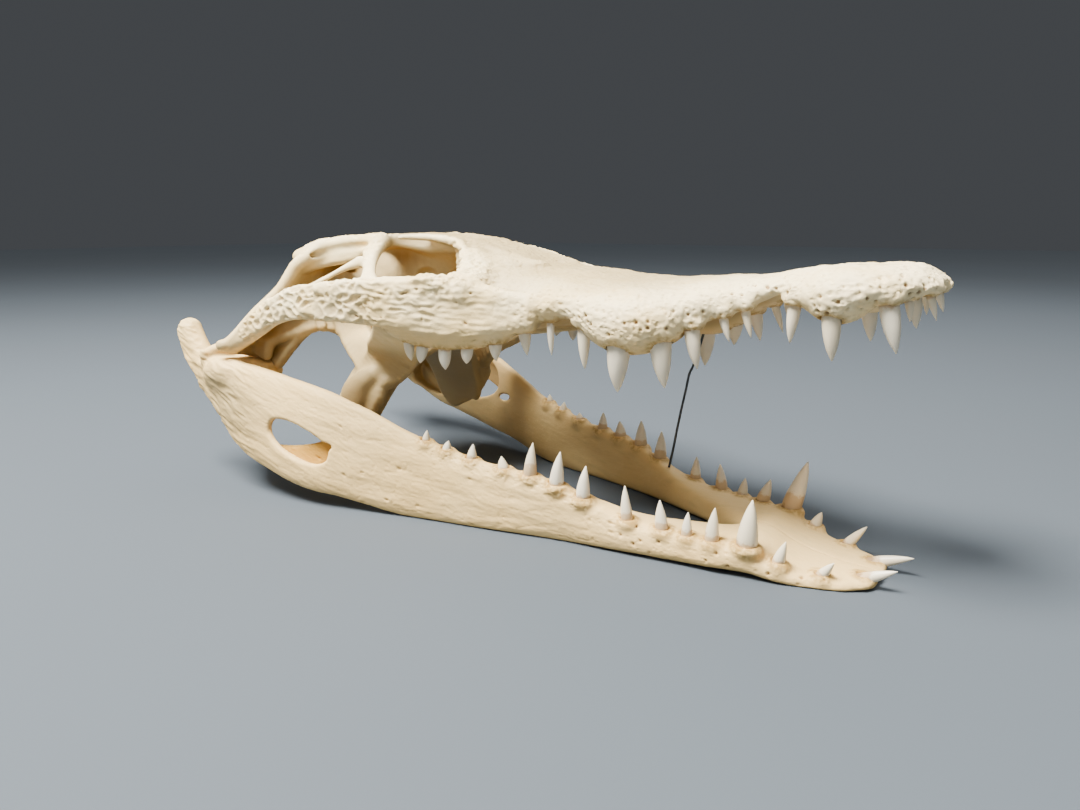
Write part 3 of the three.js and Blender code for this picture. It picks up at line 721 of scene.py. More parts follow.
def jaw_hollow(x, y, z):
    """The hollow within the rear of the jaw, a slit at its ends and deeper between them."""
    across, up, *_ = jaw_shares(x, y, z)
    ends = 1 - ramp(np.abs(x + 70) / 44, 0.5, 1.0)
    near = np.sqrt((across / 0.34) ** 2 + (up / (0.1 + 0.62 * ends)) ** 2) - 1
    return near * 2.5


def jaw_middle(x, z):
    """How far out the middle of the jaw's section lies."""
    across, _, half_width, _ = jaw_shares(x, np.zeros((1, 1, 1), np.float32), z)
    return -across * half_width


def side_opening(at, radii, turn):
    """Below zero within an oval seen from the side."""
    return lambda x, y, z: oval_gap(x - at[0], z - at[1], radii, turn, 2.3) + 0 * y


def lower_jaw():
    """The field of one half of the lower jaw, as the left one."""
    bone = Field((-162, -VOXEL, -2), (152, 72, 76))
    bone.add(loft(jaw_body, (-138, -2, -2), (152, 72, 60)))
    # the spur behind the joint
    bone.add(
        bar([(-114, 57, 37, 5, 12), (-128, 56, 41.8, 5, 8.8), (-140.4, 55, 49, 5, 7.2),
             (-148.6, 54.4, 57, 5, 6.8), (-153, 54, 64.8, 4.8, 6)], (0, 1, 0)), 3)
    # the shelf of the joint with its rear lip
    bone.add(
        bar([(-117, 38.5, 48.8, 11, 4), (-120, 48, 47, 12, 7), (-121, 58, 48, 11, 7)], (1, 0, 0)), 3)
    bone.add(bar([(-131, 41, 53, 2.4, 4), (-133, 50, 55, 3, 5), (-132, 60, 54, 2.4, 4)], (1, 0, 0)), 3)
    # the hollow inside the jaw, and the long opening of it in the inner wall
    bone.cut(loft(jaw_hollow, (-112, 36, 2), (-26, 72, 60)), 1.2)
    inner_opening = side_opening((-84, 34), (31, 12.6), 0.08)
    bone.cut(
        loft(lambda x, y, z: smooth_max(inner_opening(x, y, z), y - jaw_middle(x, z), 1),
             (-118, 38, 14), (-48, 66, 54)), 1.5)
    outer_opening = side_opening((-69, 26), (15.8, 6.6), -0.32)
    bone.cut(
        loft(lambda x, y, z: smooth_max(outer_opening(x, y, z), jaw_middle(x, z) - y, 1),
             (-98, 50, 8), (-46, 72, 42)), 1.5)
    bone.cut(bar([(-43.6, 44, 28.4, 2.2, 1.5), (-49, 51, 27, 2.4, 1.7), (-56, 58, 25, 2.8, 2.2)],
                 (1, 0, 0), oval=True), 1)
    # room for the hinge
    bone.cut(
        bar([(-119.4, 34, 57.2, 5, 4.4), (-119, 50, 58.6, 4.6, 4), (-118, 66, 60.6, 4.6, 4)],
            (1, 0, 0), oval=True), 1.5)
    for (x, y), radius, *_ in LOWER_TEETH:
        collar(bone, (x, y, float(jaw_top(x))), radius, 1)
    bone.cut(loft(lambda x, y, z: y - SUTURE_GAP / 2 + 0 * x + 0 * z, (60, -2, -2), (152, 3, 40)), 0.3)
    bone.cut(loft(lambda x, y, z: z - 0.02 + 0 * x + 0 * y, (-162, -2, -2), (152, 72, 3)), 0.5)
    return bone


# ---- Carving -----------------------------------------------------------------------------------
def line_gap(points, stations, spread):
    """1 on a line through stations in space, falling to 0 at `spread` mm away."""
    best = np.full(len(points), 99.0)
    dense = spline(stations, 5)
    near = np.all(points > dense.min(0) - spread, axis=1)
    near &= np.all(points < dense.max(0) + spread, axis=1)
    some = points[near]
    nearest = np.full(len(some), 99.0)
    for start, end in zip(dense, dense[1:]):
        span = end - start
        t = np.clip((some - start) @ span / (span @ span), 0, 1)
        nearest = np.minimum(nearest, np.linalg.norm(some - start - t[:, None] * span, axis=1))
    best[near] = nearest
    return 1 - ramp(best, 0, spread)


def outward(points, normals):
    """1 where the surface faces up or out from the midline, and 0 where it faces in or down."""
    side = np.sign(points[:, 1]) * normals[:, 1]
    return ramp(np.maximum(side, normals[:, 2] * 0.9), 0.05, 0.45)


SUTURES = [
    [(118, 0, 100), (112, 6, 99.4), (117, 12, 98), (121, 18, 95), (119, 22, 90)],
    [(60, 0, 95.6), (84, 3.4, 96.2), (104, 4, 97), (118, 4.4, 100)],
    [(22, 0, 101), (30, 6, 98.8), (46, 9, 96.4), (60, 7, 95.8)],
    [(14, 20, 100.4), (28, 20, 97), (40, 14, 96.4), (46, 9, 96.6)],
    [(4, 41, 91), (16, 38, 88), (34, 36, 88.4), (44, 30, 91.6)],
    [(-92, 62, 70), (-80, 62.6, 80), (-66, 62, 87)],
    [(-52, 22, 109), (-58, 12, 109), (-60, 0, 109)],
]
FACE_GROOVES = [
    [(-7, 52, 92.6), (0, 51, 91.6), (6, 49, 90.4)],
    [(8, 38, 98), (12, 37, 96.4), (16, 35, 95)],
    [(4, 11, 104), (8, 9, 103), (12, 8.6, 101)],
]
JAW_SUTURES = [
    [(-52, 65, 22), (-36, 60, 20), (-10, 52, 12), (24, 45, 7)],
    [(-56, 62, 30), (-40, 56, 34), (-24, 50, 33)],
]
JAW_GROOVES = [
    [(-41, 53.6, 37), (-34, 52, 35.4), (-27, 50.4, 33.4)],
]


def on_left(points):
    """The points, with those on the right side mirrored to the left."""
    return points * (1, 0, 1) + np.abs(points) * (0, 1, 0)


def turned(points, ahead):
    """The points' places along `ahead`, given for the left side, and across it."""
    ahead = unit(ahead)
    beside = unit(np.cross((0.0, 0.3, 1.0), ahead))
    return on_left(points) @ np.stack([ahead, beside, np.cross(ahead, beside)], axis=1)


def shaken(points, amount, size):
    """The points moved a little to and fro, so that a pattern made at them looks less regular."""
    return points + amount * np.stack([noise(points, size, o) for o in (3.1, 8.7, 5.9)], axis=1)


def seams_through(points, lines, size, spread):
    """1 on zigzag lines through stations, given for the left side and the same on the right."""
    zigzag = shaken(on_left(points), 0.5, size)
    return np.max([line_gap(zigzag, stations, spread) for stations in lines], axis=0)


def carve_upper(points, normals):
    """How far each point of the upper skull moves out, in mm, how deep in a pit it lies and how
    porous the bone is."""
    x, y, z = points.T
    shell = outward(points, normals)
    wobble = shaken(points, 1.1, 4.5)
    above_teeth = z - jaw_edge(np.clip(x, -20, 155))
    low_band = (1 - ramp(above_teeth, 5, 12)) * ramp(above_teeth, 0.2, 1.6)
    face = shell * ramp(x, -26, -8) * ramp(z, 69, 73)
    front = face * ramp(x, 100, 112) * (1 - ramp(normals[:, 2], 0.7, 0.95))
    over_teeth = face * low_band * ramp(x, 26, 46)
    flank = shell * ramp(x, -44, -26) * (1 - ramp(x, 14, 36)) * ramp(z, 69, 73)
    flank *= 1 - ramp(normals[:, 2], 0.35, 0.75)
    high_flank = flank * ramp(z, 76, 83) * (1 - ramp(x, -8, 6))
    open_face = face * (1 - 0.85 * flank)
    knobs = shell * (1 - ramp(np.hypot(x + 2, np.abs(y) - 37), 8, 17)) * ramp(z, 85, 88)
    cheek = shell * (1 - ramp(x, -34, -12)) * ramp(x, -108, -96) * ramp(np.abs(y), 50, 54)
    cheek *= ramp(z, 62, 66)
    table = shell * ramp(normals[:, 2], 0.5, 0.8) * (1 - ramp(x, -20, -4)) * ramp(z, 97, 101)

    slanted = turned(wobble, (0.8, 0.42, -0.42))
    dashes = within(open_face, slanted * (0.5, 1, 1), pits, 2.0, 0.4, 1.7, 0.75)
    winding = within(face + table, wobble, ridges, np.array([4.2, 2.4, 2.4]), 2.2)
    holes = within(over_teeth, points, pits, 2.9, 0.3, 4.4, 0.85)
    front_holes = within(front, points, pits, 3.2, 0.32, 9.4, 0.85)
    furrows = within(high_flank, wobble, ridges, np.array([12.0, 4.0, 2.1]), 14.3)
    lines = within(flank, points, noise, np.array([15.0, 2.0, 1.3]), 3.3)
    slots = within(flank, wobble * (0.34, 1, 1), pits, 2.6, 0.24, 6.6, 0.4)
    net = within(cheek, shaken(points, 1.7, 7.0) * (0.66, 1, 1), network, 3.6, 0.42, 6.6)
    rough = within(knobs, wobble, network, 3.4, 0.5, 2.6)
    dents = within(table, wobble, pits, 3.6, 0.5, 12.2, 0.7)
    out = 0.26 * winding * (1 - 0.7 * flank) - 0.5 * dashes - 1.0 * holes - 0.9 * front_holes
    out += 0.6 * furrows + 0.3 * lines - 0.8 * slots
    out += 1.15 * net * (0.75 + 0.5 * noise(points, 8.0, 4.5)) - 0.85 * cheek + 1.0 * rough
    out += -0.45 * knobs - 0.6 * dents
    out += 0.1 * cloud(points, 3.2, 1.1) + 0.3 * cloud(points, 13.0, 6.1, 2) * shell
    out += 0.34 * noise(points, 6.0, 2.9) * open_face + 0.2 * cheek * noise(points, 1.9, 7.9)
    seams = seams_through(points, SUTURES, 1.8, 0.75)
    middle = (1 - ramp(np.abs(y + 0.5 * noise(points, 2.6, 51.0)), 0, 0.55)) * ramp(x, 20, 24)
    seams = np.maximum(seams, middle * (1 - ramp(x, 126, 128)))
    out -= 0.26 * seams
    grooves = seams_through(points, FACE_GROOVES, 3.0, 2.2)
    out -= 0.8 * grooves
    # how deep in pits, holes and grooves each point lies, painted brown as painted shade, with the
    # sutures as dark joints
    pit_shade_and_seams = np.clip(0.14 * dashes + 1.2 * holes + 1.1 * front_holes + 0.9 * slots + 0.3 * dents
                    + 0.45 * (cheek - net) * (net < 0.5) + 0.45 * seams + 0.35 * grooves, 0, 1)
    return out, pit_shade_and_seams, np.clip(open_face + table + 0.5 * knobs, 0, 1)


def carve_lower(points, normals):
    """The same for the lower jaw, whose grain follows its length."""
    x, y, z = points.T
    shell = ramp(np.sign(y) * normals[:, 1], -0.1, 0.4)
    rear = 1 - ramp(x, -108, -84)
    below_teeth = jaw_top(x) - z
    front = shell * ramp(x, 40, 76)
    along = np.stack([x, y, z + 0.3 * np.minimum(x + 40, 0) + 0.1 * np.maximum(x + 40, 0)], axis=1)
    along += 0.7 * np.stack([0 * x, noise(points, 11.0, 3.1), noise(points, 11.0, 8.7)], axis=1)
    streaks = cloud(along, np.array([16.0, 2.0, 1.3]), 3.3)
    broad = noise(along, np.array([30.0, 8.0, 5.5]), 2.1)
    fine = noise(along, np.array([7.0, 0.9, 0.8]), 5.2)
    cracks = within(shell, along, ridges, np.array([22.0, 5.0, 3.4]), 8.1)
    slots = within(shell * (1 - rear), along * (0.26, 1, 1), pits, 2.7, 0.22, 6.3, 0.4)
    holes = within(front, points, pits, 4.0, 0.2, 2.1, 0.6)
    gutter = shell * ramp(x, -26, -8) * (1 - ramp(x, 44, 70)) * (1 - ramp(below_teeth, 2.5, 6.5))
    worn = within(gutter, shaken(points, 1.0, 4.0) * (0.6, 1, 1), network, 3.2, 0.4, 4.2)
    lumps = within(shell * rear, along, cloud, np.array([8.0, 5.0, 3.6]), 9.9, 2)
    wrinkles = within(shell * rear, along, ridges, np.array([15.0, 4.0, 2.4]), 5.5)
    out = shell * (0.14 * streaks + 0.32 * broad + 0.07 * fine) - 0.16 * ramp(cracks, 0.88, 1)
    out += (1 - shell) * (0.06 * streaks + 0.03 * fine)
    out += 0.4 * lumps + 0.35 * wrinkles - 0.55 * slots - 1.0 * holes + 0.3 * worn - 0.3 * gutter
    out += 0.05 * cloud(points, 2.4, 1.7) + 0.25 * cloud(points, 18.0, 3.7, 2)
    seams = seams_through(points, JAW_SUTURES, 2.2, 0.7)
    grooves = seams_through(points, JAW_GROOVES, 3.0, 1.0)
    out -= 0.3 * seams + 0.8 * grooves
    # how deep in pits, holes and grooves each point lies, painted brown as painted shade, with the
    # sutures as dark joints
    pit_shade_and_seams = np.clip(0.5 * slots + 1.2 * holes + 0.4 * seams + 0.6 * grooves
                    + 0.3 * (gutter - worn) * (worn < 0.4), 0, 1)
    return out, pit_shade_and_seams, np.clip(0.5 * front + gutter, 0, 1)


# ---- Meshes ------------------------------------------------------------------------------------
def new_object(name, data, at=(0, 0, 0), ahead=None):
    """An object in the scene. A light or a camera points along `ahead`."""
    made = bpy.data.objects.new(name, data)
    made.location = at
    if ahead is not None:
        made.rotation_euler = ahead.to_track_quat("-Z", "Y").to_euler()
    bpy.context.scene.collection.objects.link(made)
    return made


def mesh_object(name, points, faces, material, values=None):
    """A mesh object in metres, from points in mm. `values` become the points' named attributes."""
    mesh = bpy.data.meshes.new(name)
    placed = (np.asarray(points) + (SHIFT, 0, 0)) * MM
    faces = np.asarray(faces)
    mesh.vertices.add(len(placed))
    mesh.vertices.foreach_set("co", placed.astype(np.float32).ravel())
    mesh.loops.add(faces.size)
    mesh.loops.foreach_set("vertex_index", faces.astype(np.int32).ravel())
    mesh.polygons.add(len(faces))
    mesh.polygons.foreach_set("loop_start", np.arange(0, faces.size, faces.shape[1], dtype=np.int32))
    mesh.polygons.foreach_set("use_smooth", np.ones(len(faces), bool))
    mesh.update(calc_edges=True)
    for key, value in (values or {}).items():
        attribute = mesh.attributes.new(key, "FLOAT", "POINT")
        attribute.data.foreach_set("value", np.asarray(value, np.float32))
    mesh.materials.append(material)
    return new_object(name, mesh)


def socket_stain(points, row, edge, up):
    """1 at the rims of the sockets, falling to 0 a few millimetres away."""
    stain = np.zeros(len(points))
    for (x, y), radius, *_ in row:
        rel = points - (x, 0, float(edge(x)) + up * 0.6)
        rel[:, 1] = np.abs(points[:, 1]) - y
        stain = np.maximum(stain, 1 - ramp(np.linalg.norm(rel, axis=1), radius + 0.8, radius + 3.8))
    return stain


def hollow_shade_and_stain(points, normals):
    """1 on the wall that shows through the window in the lower jaw's side, painted amber by the
    material as painted shade and stain inside the hollow.
    """
    x, y, z = points.T
    middle = jaw_middle(x[:, None, None], z[:, None, None])[:, 0, 0]
    within_jaw = ramp(middle - np.abs(y), -0.5, 1.0) * ramp(np.sign(y) * normals[:, 1], 0, 0.3)
    return within_jaw * ramp(x, -112, -104) * (1 - ramp(x, -50, -44)) * ramp(z, 6, 9)


def palate_shade(points):
    """1 on the bones of the palate behind the tooth rows, which painted shade makes darker than the
    rest.
    """
    x, _, z = points.T
    return (1 - ramp(z, 60, 69)) * (1 - ramp(x, -14, -4))


def bone_object(name, field, carve, row, edge, up, side, material):
    """One bone, carved, with the attributes that its material reads. `up` is 1 in the lower jaw,
    and `side` is -1 for the mirrored half."""
    points, faces = surface_of(field)
    points, normals = drawn_to_surface(field, points)
    # the material paints creases darker from this, as painted shade with some stain
    crease_shade_and_stain = crowding(field, points, normals, 2.2, 3.0)
    # the material paints hollows ochre from this, as painted shade with some ochre stain
    crowd_shade_and_stain = crowding(field, points, normals, 7.0, 8.0)
    # the material paints places that much bone shelters khaki from this, as painted shade
    shelter_shade = crowding(field, points, normals, 12.0, 14.0)
    # painted shade on the palate behind the tooth rows
    if up < 0:
        shelter_shade = shelter_shade + 0.09 * palate_shade(points)
    if side < 0:
        points, normals = points * (1, -1, 1), normals * (1, -1, 1)
        faces = faces[:, ::-1]
    out, pit_shade_and_seams, porous = carve(points, normals)
    near_floor = ramp(points[:, 2], 0.05, 1.2)
    points = points + normals * (out * near_floor)[:, None]
    values = {
        "crowd_shade_and_stain": crowd_shade_and_stain,
        "crease_shade_and_stain": crease_shade_and_stain,
        "shelter_shade": shelter_shade,
        # faces that look down, painted darker by the material as painted shade
        "under": ramp(-normals[:, 2], 0.1, 0.8),
        "pit_shade_and_seams": pit_shade_and_seams,
        "porous": porous,
        "hollow": hollow_shade_and_stain(points, normals) if up > 0 else 0 * pit_shade_and_seams,
        "stain": socket_stain(points, row, edge, up),
    }
    return mesh_object(name, points, faces, material, values)


def tube_faces(rings, sides):
    """The four-sided faces between `rings` + 1 rings of points."""
    faces = []
    for ring in range(rings):
        for i in range(sides):
            a, b = ring * sides + i, ring * sides + (i + 1) % sides
            faces.append((a, b, b + sides, a + sides))
    return faces


def tooth_mesh(root, tip, radius, dice, up):
    """Points, faces and each point's place from the gum (0) to the tip (1) for one tooth."""
    sides, rings = 20, 16
    root, tip = np.array(root, float), np.array(tip, float)
    ahead = unit(tip - root)
    crown = np.linalg.norm(tip - root)
    start = root - ahead * ROOT_DEPTH
    belly = root + ahead * crown * 0.45
    belly[1] += math.copysign(0.075 * crown, root[1])
    across, other = square_to(ahead)
    taper = 2.3 if crown > 12 and up < 0 else 1.7
    if root[0] < BLUNT_BEHIND and up < 0:
        taper = 3.2
    phase = dice.uniform(0, 2 * math.pi)
    points, crown_share = [], []
    for ring in range(rings + 1):
        t = ring / rings
        centre = (1 - t) ** 2 * start + 2 * t * (1 - t) * belly + t * t * tip
        share = np.clip((np.dot(centre - root, ahead)) / crown, -0.3, 1)
        size = max(1 - max(share, 0) ** taper, 0) ** 0.8 if ring < rings else 0.03
        size = max(size, 0.06)
        neck = 1 - 0.07 * math.exp(-((share - 0.02) / 0.08) ** 2)
        for i in range(sides):
            angle = 2 * math.pi * i / sides
            flute = 1 + 0.012 * math.cos(7 * angle + phase)
            keel = 1 + 0.05 * abs(math.cos(angle + 0.5 * math.pi)) ** 6 * max(share, 0)
            reach = radius * size * neck * flute * keel
            point = centre + reach * (across * 0.92 * math.cos(angle) + other * math.sin(angle))
            point[2] = max(point[2], ROOT_FLOOR)
            points.append(point)
            crown_share.append(share)
    faces = tube_faces(rings, sides)
    # fans close both ends
    base = len(points)
    points += [np.mean(points[:sides], axis=0), tip + ahead * 0.03 * radius]
    crown_share += [-0.3, 1.0]
    for i in range(0, sides, 2):
        j, k = (i + 1) % sides, (i + 2) % sides
        faces.append((base, k, j, i))
        last = rings * sides
        faces.append((base + 1, last + i, last + j, last + k))
    return points, faces, crown_share


def teeth_object(name, row, side, edge, up, material):
    """One side's row of teeth in one mesh. `up` is 1 in the lower jaw."""
    dice = np.random.default_rng(5 + side + 10 * (up > 0))
    points, faces, crown_share, tint, root_share = [], [], [], [], []
    for (x, y), radius, right, left in row:
        tip_x, tip_z = left if side > 0 else right
        # each crown starts a little inside the bone
        root = (x, side * y, float(edge(x)) + (0.6 if up < 0 else -1.0))
        made = tooth_mesh(root, (tip_x, side * (y + 0.4), tip_z), radius, dice, up)
        offset = len(points)
        points += made[0]
        faces += [tuple(offset + i for i in face) for face in made[1]]
        crown_share += made[2]
        tint += [dice.uniform(0, 1)] * len(made[0])
        root_share += [dice.uniform(0.14, 0.4) if up > 0 else dice.uniform(0.02, 0.14)] * len(made[0])
    values = {"crown": crown_share, "tint": tint, "root_share": root_share}
    return mesh_object(name, points, faces, material, values)


def wire_object(name, material):
    """The stiff wire between the jaws, with its two ends pushed into the bone."""
    stations = spline([(55.6, 25.4, 15.5), (56.6, 26, 22), (58.5, 27, 36), (60.6, 27.9, 49),
                       (61.4, 28.3, 54.4), (63.6, 28.5, 60), (68, 28.6, 76.5)], 8)
    sides = 10
    points = []
    for i, centre in enumerate(stations):
        ahead = unit(stations[min(i + 1, len(stations) - 1)] - stations[max(i - 1, 0)])
        across, other = square_to(ahead)
        for k in range(sides):
            angle = 2 * math.pi * k / sides
            points.append(centre + WIRE_RADIUS * (across * math.cos(angle) + other * math.sin(angle)))
    faces = tube_faces(len(stations) - 1, sides)
    for start, order in ((0, -1), ((len(stations) - 1) * sides, 1)):
        for k in range(1, sides - 2, 2):
            faces.append(tuple(start + i for i in (0, k, k + 1, k + 2))[::order])
    return mesh_object(name, points, faces, material)


# ---- Materials ---------------------------------------------------------------------------------
class Nodes:
    """A short way to write a material's nodes."""

    def __init__(self, name, roughness, specular=0.5, metallic=0.0):
        self.material = bpy.data.materials.new(name)
        self.material.use_nodes = True
        self.tree = self.material.node_tree
        self.shader = self.tree.nodes["Principled BSDF"]
        self.place = self.make("ShaderNodeTexCoord").outputs["Object"]
        self.shade("Roughness", roughness)
        self.shade("Specular IOR Level", specular)
        self.shade("Metallic", metallic)

    def give(self, socket, value):
        """Sets a socket to a number, or links it to another node's output."""
        if isinstance(value, bpy.types.NodeSocket):
            self.tree.links.new(value, socket)
        else:
            socket.default_value = value

    def shade(self, key, value):
        self.give(self.shader.inputs[key], value)

    def make(self, kind, **inputs):
        """A new node with its inputs given by name, in which _ stands for a space."""
        node = self.tree.nodes.new(kind)
        for key, value in inputs.items():
            self.give(node.inputs[key.replace("_", " ")], value)
        return node

    def attribute(self, name):
        node = self.make("ShaderNodeAttribute")
        node.attribute_name = name
        return node.outputs["Fac"]

    def stretched(self, scale):
        return self.make("ShaderNodeMapping", Scale=scale, Vector=self.place).outputs["Vector"]

    def noise(self, scale, detail, place=None):
        node = self.make("ShaderNodeTexNoise", Scale=scale, Detail=detail, Roughness=0.55,
                         Vector=place or self.place)
        return node.outputs["Fac"]

    def ramp(self, value, low, high, to_low=0.0, to_high=1.0):
        node = self.make("ShaderNodeMapRange", Value=value, From_Min=low, From_Max=high,
                         To_Min=to_low, To_Max=to_high)
        node.interpolation_type = "SMOOTHSTEP"
        return node.outputs["Result"]

    def cells(self, scale, place):
        """The distance to the nearest of the spots scattered in space, as a share of their spacing."""
        return self.make("ShaderNodeTexVoronoi", Scale=scale, Vector=place).outputs["Distance"]

    def height(self):
        return self.make("ShaderNodeSeparateXYZ", Vector=self.place).outputs["Z"]

    def math(self, operation, a, b):
        node = self.make("ShaderNodeMath")
        node.operation = operation
        self.give(node.inputs[0], a)
        self.give(node.inputs[1], b)
        return node.outputs["Value"]

    def mix(self, share, a, b):
        """Colour a, turning into colour b as `share` goes from 0 to 1."""
        node = self.make("ShaderNodeMix")
        node.data_type = "RGBA"
        sockets = {socket.identifier: socket for socket in node.inputs}
        for key, value in (("Factor_Float", share), ("A_Color", a), ("B_Color", b)):
            self.give(sockets[key], (*value, 1) if isinstance(value, tuple) else value)
        return [o for o in node.outputs if o.identifier == "Result_Color"][0]

    def bump(self, height, strength, distance):
        node = self.make("ShaderNodeBump", Strength=strength, Distance=distance, Height=height)
        self.shade("Normal", node.outputs["Normal"])


CREAM = (0.84, 0.63, 0.29)
PALE = (0.95, 0.79, 0.45)
# painted shade: the warmer, darker colour given to the lower parts
LOW_SHADE = (0.74, 0.49, 0.18)
TAN = (0.56, 0.39, 0.16)
# painted shade: the colour of sheltered places
KHAKI = (0.37, 0.27, 0.12)
OCHRE = (0.40, 0.23, 0.05)
# painted shade and stain inside the lower jaw's hollow
AMBER = (0.56, 0.30, 0.05)
# painted shade in pits and holes, and the colour of the dark sutures
BROWN = (0.20, 0.10, 0.03)
ENAMEL = (0.86, 0.78, 0.60)
WARM_ENAMEL = (0.80, 0.68, 0.46)
DULL_ENAMEL = (0.66, 0.57, 0.42)
ROOT = (0.60, 0.42, 0.22)
GUM = (0.32, 0.18, 0.06)
DARK_STEEL = (0.05, 0.06, 0.065)
WORN_STEEL = (0.14, 0.14, 0.14)
FLOOR = (0.07, 0.083, 0.095)
PALE_FLOOR = (0.076, 0.09, 0.103)


def bone_material(name):
    """Cleaned bone, cream and chalky outside, ochre in its hollows and brown in its pits, with painted
    shade: warmer and darker low down and beneath, khaki and ochre in hollows and sheltered places with
    some stain there, and brown in pits and holes besides the dark sutures.
    """
    nodes = Nodes(name, 0.6, specular=0.3)
    broad = nodes.noise(38.0, 3.0)
    streak = nodes.noise(260.0, 4.0, place=nodes.stretched((0.22, 1, 1)))
    grain = nodes.noise(1500.0, 3.0)
    speck = nodes.noise(620.0, 2.0)
    pores = nodes.ramp(nodes.cells(640.0, nodes.stretched((0.7, 1, 1))), 0.12, 0.42, 1, 0)
    pores = nodes.math("MULTIPLY", pores, nodes.attribute("porous"))
    colour = nodes.mix(nodes.ramp(broad, 0.35, 0.65), CREAM, PALE)
    # painted shade: warmer and darker towards the bottom, where the light from above falls less
    colour = nodes.mix(nodes.ramp(nodes.height(), 0.045, 0.095, 0.85, 0), colour, LOW_SHADE)
    colour = nodes.mix(nodes.ramp(streak, 0.5, 0.78, 0, 0.35), colour, TAN)
    # painted shade, with some ochre stain, where bone crowds round a hollow, and painted shade on
    # faces that look down
    crowd_shade_and_stain = nodes.math("ADD", nodes.attribute("crowd_shade_and_stain"), nodes.ramp(broad, 0.2, 0.8, -0.05, 0.05))
    crowd_shade_and_stain = nodes.math("ADD", crowd_shade_and_stain, nodes.math("MULTIPLY", nodes.attribute("under"), 0.1))
    # painted shade, with some stain, in the creases between ridges
    colour = nodes.mix(nodes.ramp(nodes.attribute("crease_shade_and_stain"), 0.3, 0.6, 0, 0.5), colour, TAN)
    # painted shade in places that much bone shelters, and on the palate
    colour = nodes.mix(nodes.ramp(nodes.attribute("shelter_shade"), 0.065, 0.18, 0, 0.9), colour, KHAKI)
    colour = nodes.mix(nodes.ramp(crowd_shade_and_stain, 0.2, 0.45, 0, 0.92), colour, OCHRE)
    # painted shade and stain on the wall inside the lower jaw's hollow
    colour = nodes.mix(nodes.attribute("hollow"), colour, AMBER)
    stain = nodes.math("MULTIPLY", nodes.attribute("stain"), nodes.ramp(speck, 0.35, 0.6, 0.35, 1.0))
    colour = nodes.mix(nodes.ramp(stain, 0, 1, 0, 0.85), colour, OCHRE)
    colour = nodes.mix(nodes.math("MULTIPLY", pores, 0.25), colour, TAN)
    # painted shade in pits, holes and grooves, with the sutures darkened as dark joints
    colour = nodes.mix(nodes.ramp(nodes.attribute("pit_shade_and_seams"), 0.12, 1, 0, 0.85), colour, BROWN)
    nodes.shade("Base Color", colour)
    nodes.shade("Roughness", nodes.ramp(speck, 0.3, 0.7, 0.52, 0.7))
    height = nodes.math("ADD", nodes.math("MULTIPLY", grain, 0.4), nodes.math("MULTIPLY", streak, 0.8))
    height = nodes.math("SUBTRACT", height, nodes.math("MULTIPLY", pores, 0.8))
    nodes.bump(height, 0.5, 0.0004)
    return nodes.material


def tooth_material(name):
    """Enamel over a darker root, with fine lines along the tooth."""
    nodes = Nodes(name, 0.32, specular=0.5)
    broad = nodes.noise(90.0, 3.0)
    fine = nodes.noise(900.0, 3.0, place=nodes.stretched((1, 1, 0.2)))
    speck = nodes.noise(420.0, 3.0)
    tint = nodes.attribute("tint")
    colour = nodes.mix(tint, ENAMEL, WARM_ENAMEL)
    colour = nodes.mix(nodes.ramp(broad, 0.5, 0.75, 0, 0.4), colour, DULL_ENAMEL)
    level = nodes.math("ADD", nodes.attribute("crown"), nodes.ramp(speck, 0.3, 0.7, -0.07, 0.07))
    gap = nodes.math("SUBTRACT", level, nodes.attribute("root_share"))
    colour = nodes.mix(nodes.ramp(gap, -0.05, 0.06, 0.9, 0), colour, ROOT)
    colour = nodes.mix(nodes.ramp(level, -0.02, 0.08, 0.9, 0), colour, GUM)
    nodes.shade("Base Color", colour)
    nodes.shade("Roughness", nodes.ramp(gap, -0.05, 0.08, 0.62, 0.3))
    nodes.bump(nodes.math("ADD", fine, nodes.math("MULTIPLY", speck, 0.5)), 0.25, 0.0002)
    return nodes.material


def steel_material(name):
    nodes = Nodes(name, 0.45, metallic=0.9)
    wear = nodes.noise(300.0, 4.0)
    colour = nodes.mix(nodes.ramp(wear, 0.4, 0.7), DARK_STEEL, WORN_STEEL)
    nodes.shade("Base Color", colour)
    nodes.shade("Roughness", nodes.ramp(wear, 0.3, 0.7, 0.38, 0.6))
    nodes.bump(nodes.noise(1600.0, 2.0), 0.2, 0.0001)
    return nodes.material


def floor_material(name):
    nodes = Nodes(name, 0.75, specular=0.2)
    colour = nodes.mix(nodes.noise(3.0, 2.0), FLOOR, PALE_FLOOR)
    nodes.shade("Base Color", colour)
    return nodes.material


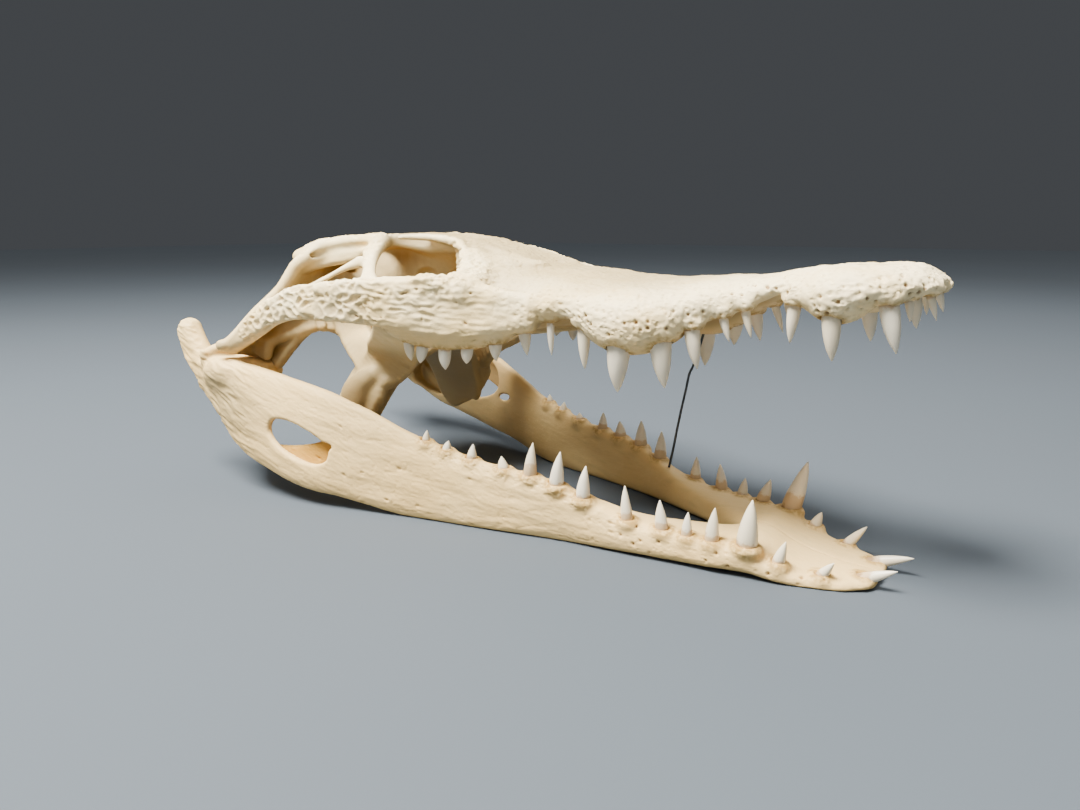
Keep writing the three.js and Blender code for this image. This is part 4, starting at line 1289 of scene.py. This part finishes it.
# ---- Pieces ------------------------------------------------------------------------------------
def build():
    """All the pieces, each with its body, its material slot and the CAD nodes that it replaces."""
    bone, enamel, steel = bone_material("bone"), tooth_material("tooth"), steel_material("steel")
    upper = mirrored_field(upper_skull())
    pieces = [
        (bone_object("upper_skull", upper, carve_upper, UPPER_TEETH, jaw_edge, -1, 1, bone),
         "bone", ("cranium",)),
    ]
    lower = lower_jaw()
    for side, word in ((1, "left"), (-1, "right")):
        jaw = bone_object(f"lower_jaw_{word}", lower, carve_lower, LOWER_TEETH, jaw_top, 1, side, bone)
        pieces.append((jaw, "bone", (f"mandible_{word}",)))
        pieces.append((teeth_object(f"upper_teeth_{word}", UPPER_TEETH, side, jaw_edge, -1, enamel),
                       "bone", ()))
        pieces.append((teeth_object(f"lower_teeth_{word}", LOWER_TEETH, side, jaw_top, 1, enamel),
                       "bone", ()))
    pieces.append((wire_object("wire", steel), "steel", ("prop_wire",)))
    for piece, slot, nodes in pieces:
        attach(piece, "root")
        if nodes:
            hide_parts(*nodes)


# ---- Floor, light and camera -------------------------------------------------------------------
FLOOR_HALF = 4.0  # in metres
LIGHT_AIM = (0, 0, 0.05)


def area_light(name, at, size, power, colour=(1, 1, 1)):
    """A square light that points at the skull."""
    light = bpy.data.lights.new(name, "AREA")
    light.shape = "SQUARE"
    light.size = size
    light.energy = power
    light.color = colour
    new_object(name, light, at, Vector(LIGHT_AIM) - Vector(at))


def stage():
    """The plain floor, three square lamps, the light from the sky and a dim backdrop."""
    mesh = bpy.data.meshes.new("floor")
    signs = ((-1, -1), (1, -1), (1, 1), (-1, 1))
    corners = [(x * FLOOR_HALF, y * FLOOR_HALF, 0) for x, y in signs]
    mesh.from_pydata(corners, [], [(0, 1, 2, 3)])
    mesh.materials.append(floor_material("floor"))
    floor = new_object("floor", mesh)
    area_light("key", (-0.25, -0.42, 1.05), 0.5, 78.0, (1, 0.98, 0.95))
    area_light("fill", (0.3, -1.0, 0.5), 0.9, 2.5, (0.97, 0.98, 1))
    area_light("back", (0.2, 0.8, 0.9), 0.9, 6.0)
    # a broad, soft light from straight above, which also reaches the far floor
    sky = bpy.data.lights.new("sky", "SUN")
    sky.energy = 1.6
    sky.angle = 1.6
    new_object("sky", sky)
    world = bpy.data.worlds.new("world")
    world.use_nodes = True
    background = world.node_tree.nodes["Background"]
    background.inputs["Color"].default_value = (0.62, 0.66, 0.72, 1)
    background.inputs["Strength"].default_value = 0.1
    bpy.context.scene.world = world


def camera():
    data = bpy.data.cameras.new("camera")
    data.sensor_width = CAMERA_SENSOR
    data.lens = CAMERA_LENS
    data.clip_start = 0.01
    at = (Vector(CAMERA_AT) + Vector((SHIFT, 0, 0))) * MM
    bpy.context.scene.camera = new_object("camera", data, at, Vector(CAMERA_AHEAD))


camera()
build()
stage()
